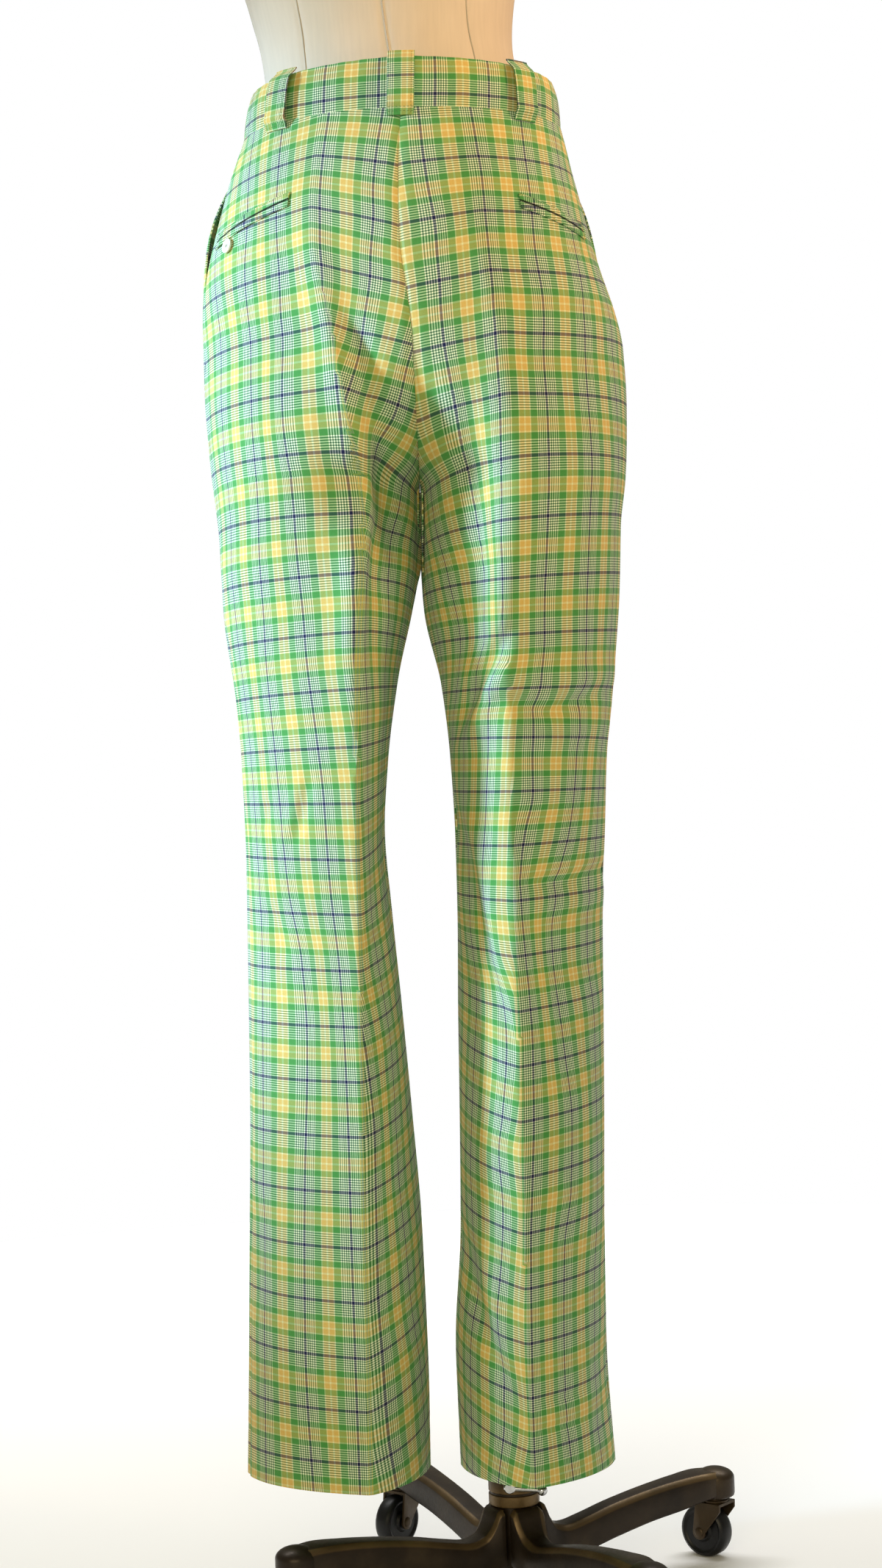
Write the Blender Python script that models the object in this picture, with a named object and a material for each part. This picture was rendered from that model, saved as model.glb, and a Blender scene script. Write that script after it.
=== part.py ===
"""Tailored trousers on a limbless dress form, whose stand rolls on four casters.

Metres, +Z up, standing on z = 0. The back of the trousers faces -Y, and the wearer's right leg,
which the pole goes down through, is on +X. Widths of the trousers are measured from their middle
plane outwards, so both legs have positive numbers.
"""
import math

import bmesh
import bpy
import numpy as np
from mathutils import Matrix, Vector

POLE_X = 0.0130
POLE_Y = 0.0
BODY_X = POLE_X - 0.050

SEAM_GAP = 0.0003
CLOTH_THICKNESS = 0.0015
WAIST_SEAM_Z = 1.180
CROTCH_Z = 0.895
HEM_Z = 0.113

# Each row is one level section of both legs, in metres. "out" is the side seam, "in" the inseam
# (negative where the section runs on past the middle plane, above the crotch), and "crease" the
# pressed line at the back. back and front are the depths, along Y.
SECTION_COLUMNS = (
    "z", "left_out", "left_in", "left_crease", "right_out", "right_in", "right_crease", "back", "front",
)
SECTIONS = (
    (1.180, 0.1280, -0.1280, 0.060, 0.1280, -0.1280, 0.056, -0.0985, 0.0930),
    (1.150, 0.1370, -0.1370, 0.063, 0.1370, -0.1370, 0.059, -0.1050, 0.1000),
    (1.110, 0.1478, -0.1478, 0.066, 0.1478, -0.1478, 0.062, -0.1135, 0.1070),
    (1.065, 0.1590, -0.1590, 0.065, 0.1590, -0.1590, 0.064, -0.1205, 0.1115),
    (1.030, 0.1655, -0.1655, 0.062, 0.1655, -0.1655, 0.066, -0.1238, 0.1130),
    (1.000, 0.1683, -0.1330, 0.059, 0.1683, -0.1330, 0.066, -0.1250, 0.1132),
    (0.970, 0.1688, -0.0880, 0.057, 0.1688, -0.0880, 0.067, -0.1248, 0.1125),
    (0.940, 0.1678, -0.0450, 0.054, 0.1678, -0.0450, 0.068, -0.1235, 0.1105),
    (0.915, 0.1664, -0.0165, 0.050, 0.1664, -0.0165, 0.068, -0.1218, 0.1085),
    (0.895, 0.1645, 0.0004, 0.048, 0.1645, 0.0004, 0.068, -0.1200, 0.1065),
    (0.860, 0.1608, 0.0010, 0.046, 0.1608, 0.0010, 0.068, -0.1165, 0.1025),
    (0.800, 0.1570, 0.0060, 0.0455, 0.1600, 0.0035, 0.067, -0.1100, 0.0955),
    (0.740, 0.1490, 0.0190, 0.049, 0.1555, 0.0165, 0.068, -0.1030, 0.0885),
    (0.680, 0.1457, 0.0285, 0.051, 0.1475, 0.0215, 0.0675, -0.0960, 0.0815),
    (0.620, 0.1450, 0.0333, 0.053, 0.1436, 0.0230, 0.067, -0.0900, 0.0760),
    (0.560, 0.1460, 0.0300, 0.054, 0.1395, 0.0225, 0.0665, -0.0865, 0.0730),
    (0.480, 0.1478, 0.0248, 0.0560, 0.1370, 0.0200, 0.0660, -0.0860, 0.0730),
    (0.400, 0.1500, 0.0202, 0.0575, 0.1345, 0.0181, 0.0650, -0.0868, 0.0755),
    (0.300, 0.1545, 0.0155, 0.0600, 0.1310, 0.0150, 0.0640, -0.0880, 0.0795),
    (0.200, 0.1590, 0.0147, 0.0615, 0.1293, 0.0075, 0.0632, -0.0900, 0.0840),
    (0.113, 0.1633, 0.0162, 0.0625, 0.1325, 0.0080, 0.0634, -0.0920, 0.0880),
)

# How far the trousers' middle plane swings to +X at each height: they hang a little off true.
SWAY_COLUMNS = ("z", "shift")
SWAY = (
    (1.230, 0.0046),
    (1.180, 0.0022),
    (1.140, -0.0010),
    (1.080, -0.0025),
    (1.000, 0.0045),
    (0.900, 0.0055),
    (0.830, 0.0030),
    (0.750, 0.0),
    (0.113, 0.0),
)

# Roundness across the leg: 2 is an ellipse, less is drawn out to a crease at back and front.
ROUND_COLUMNS = ("z", "across")
ROUNDNESS = (
    (1.180, 2.10),
    (0.930, 2.00),
    (0.860, 1.80),
    (0.700, 1.45),
    (0.113, 1.35),
)
ALONG_ROUNDNESS = 2.0
CREASE_STARTS_Z = 0.895
CREASE_FULL_Z = 0.800

# The largest folds, as soft ridges (height above 0) and troughs (below 0) from one end to the other.
# x is from the middle plane, and "span" is how far a fold reaches each side of its line.
FOLD_COLUMNS = ("leg", "face", "x0", "z0", "x1", "z1", "span", "height")
FOLDS = (
    ("left", "back", 0.070, 1.085, 0.050, 0.900, 0.016, 0.0035),
    ("left", "back", 0.050, 0.900, 0.046, 0.700, 0.013, 0.0030),
    ("left", "back", 0.024, 0.960, 0.026, 0.780, 0.013, -0.0040),
    ("left", "back", 0.080, 0.650, 0.094, 0.590, 0.010, -0.0025),
    ("right", "back", 0.066, 1.060, 0.068, 0.860, 0.016, 0.0025),
    ("right", "back", 0.030, 0.945, 0.036, 0.800, 0.013, -0.0035),
    ("right", "back", 0.070, 0.775, 0.022, 0.722, 0.009, -0.0035),
    ("right", "back", 0.052, 0.728, 0.135, 0.735, 0.010, 0.0035),
    ("right", "back", 0.056, 0.705, 0.128, 0.712, 0.009, -0.0030),
    ("right", "back", 0.050, 0.330, 0.034, 0.220, 0.010, -0.0030),
    ("left", "front", 0.050, 0.930, 0.090, 0.870, 0.012, -0.0030),
    ("right", "front", 0.050, 0.930, 0.090, 0.870, 0.012, -0.0030),
    ("left", "front", 0.060, 0.690, 0.120, 0.670, 0.012, 0.0030),
    ("right", "front", 0.060, 0.700, 0.120, 0.680, 0.012, 0.0030),
)

SIDE_SEAM_TURN = {"left": 9.0, "right": 2.0}
PANEL_COLUMNS = 13
# Heights of a panel's rows at its outer edge, from the waist seam to the hem.
ROWS_HIP = (1.180, 1.165, 1.140, 1.110, 1.087, 1.065, 1.0475, 1.030, 1.000)
ROWS_SEAT = (0.983, 0.966, 0.949, 0.932, 0.915, 0.898, 0.880)
ROWS_LEG = (
    0.855, 0.825, 0.790, 0.760, 0.733, 0.706, 0.670, 0.620,
    0.560, 0.485, 0.410, 0.335, 0.260, 0.185, HEM_Z,
)
INNER_DRIFT = 0.018

POCKET_MOUTH_REACH = 0.034
POCKET_MOUTH_FOOT_Z = 1.050
POCKET_MOUTH_GAPE = 0.006
FACING_FOOT_Z = 1.078
FACING_TUCK = 0.016
FACING_COLUMNS = 5

BAND_THICKNESS = 0.0020
BAND_COLUMNS = ("z", "half_width", "back", "front")
BAND_SECTIONS = (
    (1.1600, 0.1340, -0.1030, 0.0978),
    (1.1803, 0.1280, -0.0985, 0.0930),
    (1.2030, 0.1250, -0.0965, 0.0905),
    (1.2260, 0.1190, -0.0925, 0.0865),
    (1.2400, 0.1160, -0.0905, 0.0845),
)
BAND_TOP_BACK_Z = 1.2210
BAND_TOP_SIDE_Z = 1.2165
BAND_STEPS_UP = 4
BAND_STEPS_ROUND = 25

# Where each belt loop sits, as a share of the way round from the centre back.
LOOP_SHARES = (0.0, 0.143, 0.315, 0.425, 0.575, 0.685, 0.857)
LOOP_WIDTH = 0.021
LOOP_THICKNESS = 0.0014
LOOP_STAND_OFF = 0.0058
LOOP_ABOVE_BAND = 0.0035
LOOP_FOOT_Z = 1.1730
LOOP_STEPS = 12

JET_WIDTH = 0.0055
JET_THICKNESS = 0.0012
JET_LIFT = 0.0006
JET_STEPS = 9
# Inner and outer end of each back pocket: angle from the side seam towards the back, and height.
BACK_POCKET_COLUMNS = ("leg", "turn0", "z0", "turn1", "z1")
BACK_POCKETS = (
    ("left", 56.0, 1.1130, 20.0, 1.0930),
    ("right", 52.0, 1.1060, 20.0, 1.0900),
)
BUTTON_RADIUS = 0.0058
BUTTON_THICKNESS = 0.0022
BACK_BUTTON_TURN = 30.0
BACK_BUTTON_Z = 1.0860
BAND_BUTTON_Z = 1.2010

FLY_WIDTH = 0.034
FLY_FOOT_Z = 1.010
FLY_STEPS = 9

# The dress form: level sections of the torso from its flat base to its neck.
FORM_COLUMNS = ("z", "half_width", "back", "front")
FORM_SECTIONS = (
    (0.9380, 0.1180, -0.0700, 0.0600),
    (0.9415, 0.1290, -0.0790, 0.0690),
    (0.9500, 0.1390, -0.0880, 0.0780),
    (0.9700, 0.1500, -0.1000, 0.0890),
    (1.0000, 0.1575, -0.1130, 0.1010),
    (1.0300, 0.1629, -0.1211, 0.1103),
    (1.0475, 0.1600, -0.1197, 0.1098),
    (1.0650, 0.1562, -0.1178, 0.1087),
    (1.0870, 0.1490, -0.1115, 0.1040),
    (1.1100, 0.1395, -0.1040, 0.0985),
    (1.1800, 0.1125, -0.0830, 0.0850),
    (1.2200, 0.1020, -0.0765, 0.0790),
    (1.2450, 0.1010, -0.0760, 0.0780),
    (1.2850, 0.1065, -0.0790, 0.0830),
    (1.3300, 0.1190, -0.0860, 0.1010),
    (1.3800, 0.1310, -0.0910, 0.1190),
    (1.4200, 0.1355, -0.0935, 0.1220),
    (1.4600, 0.1385, -0.0950, 0.1120),
    (1.5050, 0.1460, -0.0935, 0.0915),
    (1.5400, 0.1500, -0.0880, 0.0780),
    (1.5700, 0.1512, -0.0790, 0.0660),
    (1.5900, 0.1390, -0.0700, 0.0570),
    (1.6030, 0.1120, -0.0620, 0.0500),
    (1.6130, 0.0830, -0.0560, 0.0450),
    (1.6250, 0.0640, -0.0510, 0.0410),
    (1.6450, 0.0540, -0.0475, 0.0380),
    (1.6800, 0.0505, -0.0455, 0.0360),
)
# The form's own middle leaves the trousers' middle above the waist, where it leans to -X.
FORM_LEAN = (
    (1.110, 0.0),
    (1.180, -0.0022),
    (1.220, -0.0080),
    (1.250, -0.0120),
    (1.290, -0.0150),
    (1.340, -0.0160),
)
FORM_STEPS_ROUND = 40
NECK_CAP_TOP_Z = 1.6950

POLE_RADIUS = 0.0140
POLE_FOOT_Z = 0.0200
POLE_TOP_Z = 0.9370
FLANGE_RADIUS = 0.0320
FLANGE_FOOT_Z = 0.9160

HUB_CORE_RADIUS = 0.0165
HUB_COLLAR_RADIUS = 0.0205
HUB_FOOT_Z = 0.0300
HUB_SHOULDER_Z = 0.0778
HUB_TOP_Z = 0.1280

ARM_COUNT = 4
FIRST_ARM_TURN = 28.6
# The cast arm along its reach from the pole: how far out, underside, top and half its width.
ARM_SECTIONS = (
    (0.0168, 0.0310, 0.0775, 0.0125),
    (0.0205, 0.0308, 0.0770, 0.0125),
    (0.0260, 0.0303, 0.0660, 0.0123),
    (0.0330, 0.0298, 0.0575, 0.0120),
    (0.0450, 0.0292, 0.0545, 0.0118),
    (0.0620, 0.0305, 0.0575, 0.0116),
    (0.0900, 0.0365, 0.0640, 0.0116),
    (0.1250, 0.0435, 0.0700, 0.0120),
    (0.1550, 0.0480, 0.0735, 0.0132),
    (0.1780, 0.0525, 0.0750, 0.0150),
    (0.1950, 0.0535, 0.0740, 0.0130),
)
ARM_CHAMFER = 0.0040
CASTER_REACH = 0.195
BOSS_RADIUS = 0.0165
BOSS_FOOT_Z = 0.0520
BOSS_TOP_Z = 0.0765

WHEEL_RADIUS = 0.0220
WHEEL_HALF_WIDTH = 0.0080
WHEEL_SIDES = 20
WHEEL_BORE = 0.0034
AXLE_RADIUS = 0.0030
CASTER_TRAIL = 0.0100
CASTER_TURN_TO_ARM = 112.0
FORK_HALF_WIDTH = 0.0122
FORK_PLATE = 0.0020
FORK_TOP_Z = 0.0478

LEVER_OFFSET_X = -0.0040
LEVER_Z = 0.0980
LEVER_LENGTH = 0.0260
LEVER_PLANE_Y = -0.0300
LEVER_BALL_RADIUS = 0.0043

FINISHES = {
    "plaid": ((0.42, 0.55, 0.24), 0.85, 0.0),
    "shell": ((0.90, 0.88, 0.80), 0.30, 0.0),
    "linen": ((0.80, 0.76, 0.66), 0.90, 0.0),
    "bronze": ((0.07, 0.055, 0.04), 0.40, 0.85),
    "chrome": ((0.80, 0.80, 0.82), 0.12, 1.0),
    "rubber": ((0.015, 0.015, 0.017), 0.55, 0.0),
    "wood": ((0.28, 0.17, 0.09), 0.45, 0.0),
}


def clear_scene():
    for thing in list(bpy.data.objects):
        bpy.data.objects.remove(thing, do_unlink=True)


def finish_material(name):
    colour, roughness, metallic = FINISHES[name]
    made = bpy.data.materials.get(name) or bpy.data.materials.new(name)
    made.use_nodes = True
    shader = made.node_tree.nodes["Principled BSDF"]
    shader.inputs["Base Color"].default_value = (*colour, 1.0)
    shader.inputs["Roughness"].default_value = roughness
    shader.inputs["Metallic"].default_value = metallic
    return made


def place(name, bm, finish, parent=None, smooth=True):
    """Turn a bmesh into a named object with its own material."""
    bmesh.ops.recalc_face_normals(bm, faces=bm.faces)
    mesh = bpy.data.meshes.new(name)
    bm.to_mesh(mesh)
    bm.free()
    own = finish_material(finish).copy()
    own.name = name
    mesh.materials.append(own)
    if smooth:
        mesh.shade_smooth()
        mesh.set_sharp_from_angle(angle=math.radians(40))
    made = bpy.data.objects.new(name, mesh)
    bpy.context.scene.collection.objects.link(made)
    made.parent = parent
    return made


def column(table, columns, name):
    return np.array([row[columns.index(name)] for row in table], dtype=float)


def smooth_through(places, values, at):
    """Read a curve that passes through the values without overshooting them."""
    order = np.argsort(places)
    x, y = np.asarray(places, float)[order], np.asarray(values, float)[order]
    step = np.diff(x)
    slope = np.diff(y) / step
    tangent = np.zeros_like(y)
    same_way = slope[1:] * slope[:-1] > 0
    both = np.where(same_way, slope[1:] + slope[:-1], 1.0)
    tangent[1:-1] = np.where(same_way, 2 * slope[1:] * slope[:-1] / both, 0.0)
    tangent[0], tangent[-1] = slope[0], slope[-1]
    at = np.clip(np.asarray(at, float), x[0], x[-1])
    i = np.clip(np.searchsorted(x, at, side="right") - 1, 0, len(step) - 1)
    t = (at - x[i]) / step[i]
    start = (1 + 2 * t) * (1 - t) ** 2 * y[i] + t * (1 - t) ** 2 * step[i] * tangent[i]
    end = t * t * (3 - 2 * t) * y[i + 1] - t * t * (1 - t) * step[i] * tangent[i + 1]
    return start + end


def read(table, columns, name, z):
    """A column of a table of sections, read at any height."""
    return smooth_through(column(table, columns, "z"), column(table, columns, name), z)


def section_value(name, z):
    return read(SECTIONS, SECTION_COLUMNS, name, z)


def ease(start, end, at):
    """Go smoothly from 0 at start to 1 at end."""
    t = np.clip((np.asarray(at, float) - start) / (end - start), 0.0, 1.0)
    return t * t * (3 - 2 * t)


def side_sign(leg):
    return -1.0 if leg == "left" else 1.0


def rounded(cosine, power):
    return np.sign(cosine) * np.abs(cosine) ** power


def base_point(leg, z, turn):
    """A point of one leg's tube. turn is 0 at the outer side, 90 at the back, 180 at the inside."""
    z = np.asarray(z, float)
    out, inside = section_value(leg + "_out", z), section_value(leg + "_in", z)
    back, front = section_value("back", z), section_value("front", z)
    middle = (out + inside) / 2
    crease = section_value(leg + "_crease", z)
    drawn = ease(CREASE_STARTS_Z, CREASE_FULL_Z, z)
    offset = (crease - middle) * drawn
    angle = np.radians(turn)
    cosine, sine = np.cos(angle), np.sin(angle)
    at_back = sine >= 0
    peak = middle + np.where(at_back, offset, -offset)
    across = read(ROUNDNESS, ROUND_COLUMNS, "across", z)
    bend = rounded(cosine, 2 / across)
    x = peak + np.where(cosine >= 0, (out - peak) * bend, (peak - inside) * bend)
    depth = np.where(at_back, back, front)
    centre_y = (back + front) / 2
    y = centre_y + (depth - centre_y) * np.abs(sine) ** (2 / ALONG_ROUNDNESS)
    shift = read(SWAY, SWAY_COLUMNS, "shift", z)
    return np.stack([BODY_X + shift + side_sign(leg) * x, POLE_Y + y, z + 0 * x], axis=-1)


def from_middle(leg, points):
    """How far points lie outwards of the trousers' middle plane."""
    shift = read(SWAY, SWAY_COLUMNS, "shift", points[..., 2])
    return side_sign(leg) * (points[..., 0] - BODY_X - shift)


def outward(leg, z, turn):
    """The cloth's outward direction, from short steps along and down the tube."""
    step_turn, step_z = 1.5, 0.002
    along = base_point(leg, z, turn + step_turn) - base_point(leg, z, turn - step_turn)
    up = base_point(leg, z + step_z, turn) - base_point(leg, z - step_z, turn)
    normal = np.cross(along, up) * -side_sign(leg)
    return normal / np.linalg.norm(normal, axis=-1, keepdims=True)


def fold_relief(leg, face, points):
    """Height of the largest folds at points of one panel."""
    x, z = from_middle(leg, points), points[..., 2]
    relief = np.zeros_like(x)
    for row in FOLDS:
        fold = dict(zip(FOLD_COLUMNS, row))
        if (fold["leg"], fold["face"]) != (leg, face):
            continue
        run = np.array([fold["x1"] - fold["x0"], fold["z1"] - fold["z0"]])
        length = np.hypot(*run)
        unit = run / length
        dx, dz = x - fold["x0"], z - fold["z0"]
        along = dx * unit[0] + dz * unit[1]
        aside = dx * unit[1] - dz * unit[0]
        tail = 0.25 * length
        keep = ease(-tail, tail, along) * ease(length + tail, length - tail, along)
        relief += fold["height"] * keep * np.exp(-((aside / fold["span"]) ** 2))
    return relief


def crossing_turn(leg, z, face):
    """The angle where a level section meets the seat seam, or the inseam below the crotch."""
    z = np.asarray(z, float)
    sign = 1.0 if face == "back" else -1.0
    low, high = np.full_like(z, 60.0), np.full_like(z, 180.0)
    for _ in range(32):
        middle = (low + high) / 2
        outside = from_middle(leg, base_point(leg, z, sign * middle)) > SEAM_GAP / 2
        low = np.where(outside, middle, low)
        high = np.where(outside, high, middle)
    return sign * np.where(z <= CROTCH_Z, 180.0, low)


def along_run(points):
    """Distance run from the first to each point of a line, or of many lines at once."""
    steps = np.linalg.norm(np.diff(points, axis=-2), axis=-1)
    return np.concatenate([np.zeros_like(steps[..., :1]), np.cumsum(steps, axis=-1)], axis=-1)


def seam_heights(leg, face, count):
    """Heights at equal steps along the curved seat seam, from its straight part to the crotch."""
    z = np.linspace(ROWS_HIP[-1], CROTCH_Z + 1e-5, 160)
    run = along_run(base_point(leg, z, crossing_turn(leg, z, face)))
    return np.interp(np.linspace(0, run[-1], count + 1)[1:], run, z)


def row_ends(leg, face):
    """Outer and inner height of each row of a panel."""
    outer = list(ROWS_HIP) + list(ROWS_SEAT) + list(ROWS_LEG)
    inner = list(ROWS_HIP) + list(seam_heights(leg, face, len(ROWS_SEAT)))
    for z in ROWS_LEG:
        inner.append(z + INNER_DRIFT * ease(0.740, ROWS_LEG[0], z))
    inner[len(ROWS_HIP) + len(ROWS_SEAT) - 1] = CROTCH_Z
    return outer, inner


def mouth_reach(z):
    """How far from the side seam the slanted pocket mouth has cut into the front panel."""
    share = np.clip((z - POCKET_MOUTH_FOOT_Z) / (WAIST_SEAM_Z - POCKET_MOUTH_FOOT_Z), 0.0, 1.0)
    return POCKET_MOUTH_REACH * share


def turn_at(leg, z, start, end, share, skip=0.0):
    """The angles that lie a share of the way along level sections, between a start and end angle."""
    z, end, share, skip = (np.array(v, float) for v in np.broadcast_arrays(z, end, share, skip))
    steps = np.linspace(0, 1, 90)
    turns = start + (end[..., None] - start) * steps
    run = along_run(base_point(leg, np.broadcast_to(z[..., None], turns.shape), turns))
    near = SEAM_GAP / 2 + skip
    far = run[..., -1] - np.where(z <= CROTCH_Z, SEAM_GAP / 2, 0.0)
    goal = near + (far - near) * share
    found = [np.interp(goal[i], run[i], turns[i]) for i in np.ndindex(z.shape)]
    return np.array(found).reshape(z.shape)


def panel_grid(leg, face):
    """Angles and heights of a panel's points, row by row."""
    outer, inner = (np.array(ends)[:, None] for ends in row_ends(leg, face))
    shares = np.linspace(0, 1, PANEL_COLUMNS)[None, :]
    heights = outer + (inner - outer) * ease(0.25, 1.0, shares)
    skip = mouth_reach(heights) if face == "front" else 0.0
    ends = crossing_turn(leg, heights, face)
    return turn_at(leg, heights, SIDE_SEAM_TURN[leg], ends, shares, skip), heights


def wall(name, outer, inner, finish, parent):
    """Close two matching grids of points into one thin wall."""
    rows, columns = outer.shape[:2]
    bm = bmesh.new()
    skins = [[[bm.verts.new(Vector(p)) for p in row] for row in grid] for grid in (outer, inner)]
    for r in range(rows - 1):
        for c in range(columns - 1):
            for skin in skins:
                bm.faces.new((skin[r][c], skin[r][c + 1], skin[r + 1][c + 1], skin[r + 1][c]))
    top, bottom = skins
    rim = [(0, c) for c in range(columns)]
    rim += [(r, columns - 1) for r in range(1, rows)]
    rim += [(rows - 1, c) for c in range(columns - 2, -1, -1)]
    rim += [(r, 0) for r in range(rows - 2, 0, -1)]
    for (r0, c0), (r1, c1) in zip(rim, rim[1:] + rim[:1]):
        bm.faces.new((top[r0][c0], top[r1][c1], bottom[r1][c1], bottom[r0][c0]))
    return place(name, bm, finish, parent)


def trouser_panel(leg, face, parent):
    turns, heights = panel_grid(leg, face)
    normals = outward(leg, heights, turns)
    skin = base_point(leg, heights, turns)
    relief = fold_relief(leg, face, skin)
    if face == "front":
        edge = np.exp(-((np.arange(PANEL_COLUMNS) / 1.6) ** 2))
        share = np.clip((heights - POCKET_MOUTH_FOOT_Z) / (WAIST_SEAM_Z - POCKET_MOUTH_FOOT_Z), 0, 1)
        relief += POCKET_MOUTH_GAPE * edge * np.sin(np.pi * share) ** 2
    outer = skin + normals * relief[..., None]
    wall(f"{face}_panel_{leg}", outer, outer - normals * CLOTH_THICKNESS, "plaid", parent)


def pocket_facing(leg, parent):
    """The facing under a slanted front pocket mouth, just inside the panels."""
    heights = np.linspace(WAIST_SEAM_Z - 0.0005, FACING_FOOT_Z, 7)
    start = turn_at(leg, heights, SIDE_SEAM_TURN[leg], -80.0, 0.0, 0.001)
    end = turn_at(leg, heights, SIDE_SEAM_TURN[leg], -80.0, 0.0, mouth_reach(heights) + FACING_TUCK)
    turns = np.linspace(start, end, FACING_COLUMNS, axis=1)
    levels = np.repeat(heights[:, None], FACING_COLUMNS, axis=1)
    normals = outward(leg, levels, turns)
    skin = base_point(leg, levels, turns) - normals * (CLOTH_THICKNESS + 2 * SEAM_GAP)
    wall(f"front_pocket_facing_{leg}", skin, skin - normals * CLOTH_THICKNESS, "plaid", parent)


def ring_point(sections, columns, z, turn, power=2.1):
    """A point of a body section: turn is 0 at +X, 90 at the back (-Y)."""
    half, back, front = (read(sections, columns, name, z) for name in ("half_width", "back", "front"))
    angle = np.radians(turn)
    cosine, sine = np.cos(angle), np.sin(angle)
    centre_y = (back + front) / 2
    depth = np.where(sine >= 0, back, front)
    x = half * rounded(cosine, 2 / power)
    y = centre_y + (depth - centre_y) * np.abs(sine)
    shift = read(SWAY, SWAY_COLUMNS, "shift", z)
    return np.stack([BODY_X + shift + x, POLE_Y + y, np.asarray(z, float) + 0 * x], axis=-1)


def band_point(z, turn):
    return ring_point(BAND_SECTIONS, BAND_COLUMNS, z, turn)


def band_outward(z, turn):
    along = band_point(z, turn + 1.5) - band_point(z, turn - 1.5)
    up = band_point(z + 0.002, turn) - band_point(z - 0.002, turn)
    normal = np.cross(up, along)
    return normal / np.linalg.norm(normal, axis=-1, keepdims=True)


def band_top(turn):
    return BAND_TOP_BACK_Z + (BAND_TOP_SIDE_Z - BAND_TOP_BACK_Z) * np.abs(np.cos(np.radians(turn)))


def waistband_half(leg, parent):
    """Half of the waistband, from the centre back round one side to the centre front."""
    clear = math.degrees(SEAM_GAP / 2 / 0.119)
    if leg == "right":
        sweep = np.linspace(90.0 - clear, -90.0 + clear, BAND_STEPS_ROUND)
    else:
        sweep = np.linspace(90.0 + clear, 270.0 - clear, BAND_STEPS_ROUND)
    shares = np.linspace(0, 1, BAND_STEPS_UP)[:, None]
    foot = WAIST_SEAM_Z + SEAM_GAP
    heights = foot + (band_top(sweep)[None, :] - foot) * shares
    turns = np.repeat(sweep[None, :], BAND_STEPS_UP, axis=0)
    skin, normals = band_point(heights, turns), band_outward(heights, turns)
    wall(f"waistband_{leg}", skin, skin - normals * BAND_THICKNESS, "plaid", parent)


def loop_turns():
    """Angles of the belt loops round the waistband."""
    turns = np.linspace(90.0, 450.0, 721)
    points = band_point(np.full_like(turns, BAND_BUTTON_Z), turns)
    run = np.concatenate([[0], np.cumsum(np.linalg.norm(np.diff(points, axis=0), axis=1))])
    return np.interp(np.array(LOOP_SHARES) * run[-1], run, turns)


def belt_loop(index, turn, parent):
    """A strap caught above and below the waistband, standing off it between."""
    across = LOOP_WIDTH / 2
    heights = np.linspace(float(band_top(turn)) + LOOP_ABOVE_BAND, LOOP_FOOT_Z, LOOP_STEPS)
    centre = band_point(heights, np.full_like(heights, turn))
    normal = band_outward(np.full_like(heights, BAND_BUTTON_Z), np.full_like(heights, turn))
    sideways = np.cross(normal, np.array([0.0, 0.0, 1.0]))
    share = np.linspace(0, 1, LOOP_STEPS)
    bow = ease(0.0, 0.22, share) * ease(1.0, 0.80, share)
    lift = 2 * SEAM_GAP + LOOP_STAND_OFF * bow
    rows_outer, rows_inner = [], []
    for side in (-1, 0, 1):
        sink = 0.0004 * (1 - side * side)
        line = centre + sideways * (side * across) + normal * (lift + sink)[:, None]
        rows_inner.append(line)
        rows_outer.append(line + normal * LOOP_THICKNESS)
    outer = np.stack(rows_outer, axis=1)
    inner = np.stack(rows_inner, axis=1)
    wall(f"belt_loop_{index + 1}", outer, inner, "plaid", parent)


def pocket_jets(pocket, parent):
    """The two narrow welts that edge a back pocket, laid on the panel."""
    leg = pocket["leg"]
    turns = np.linspace(pocket["turn0"], pocket["turn1"], JET_STEPS)
    line = np.linspace(pocket["z0"], pocket["z1"], JET_STEPS)
    for which, sign in (("upper", 1), ("lower", -1)):
        across = sign * (SEAM_GAP + JET_WIDTH * np.array([0.0, 0.5, 1.0]))
        heights = line[:, None] + across[None, :]
        grid = np.repeat(turns[:, None], 3, axis=1)
        normals = outward(leg, heights, grid)
        lift = fold_relief(leg, "back", base_point(leg, heights, grid)) + JET_LIFT
        low = base_point(leg, heights, grid) + normals * lift[..., None]
        wall(f"back_pocket_{leg}_{which}_jet", low + normals * JET_THICKNESS, low, "plaid", parent)


def fly_lap(parent):
    """The lap of cloth over the fly, on the wearer's left front."""
    leg = "left"
    heights = np.linspace(WAIST_SEAM_Z - 0.001, FLY_FOOT_Z, FLY_STEPS)
    turns = []
    for z in heights:
        width = FLY_WIDTH * float(np.sqrt(np.clip((z - FLY_FOOT_Z + 0.004) / 0.040, 0.02, 1.0)))
        end = crossing_turn(leg, z, "front")
        turns.append(end + np.array([0.2, 0.5, 0.8]) * math.degrees(width / 0.15))
    turns = np.array(turns)
    levels = np.repeat(heights[:, None], 3, axis=1)
    normals = outward(leg, levels, turns)
    low = base_point(leg, levels, turns) + normals * JET_LIFT
    wall("fly_lap", low + normals * JET_THICKNESS, low, "plaid", parent)


def disc_button(name, centre, normal, parent):
    """A four-hole button blank: a short turned disc with a raised rim."""
    bm = bmesh.new()
    half = BUTTON_THICKNESS / 2
    profile = [(0.0, -half), (0.82, -half), (1.0, -0.3 * half), (1.0, half), (0.78, half), (0.66, 0.3 * half)]
    rings = []
    sides = 16
    for share, height in profile[1:]:
        ring = []
        for k in range(sides):
            angle = 2 * math.pi * k / sides
            radius = BUTTON_RADIUS * share
            ring.append(bm.verts.new((radius * math.cos(angle), radius * math.sin(angle), height)))
        rings.append(ring)
    join_rings(bm, rings)
    bm.transform(Matrix.Translation(centre) @ normal.to_track_quat("Z", "Y").to_matrix().to_4x4())
    place(name, bm, "shell", parent)


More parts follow.
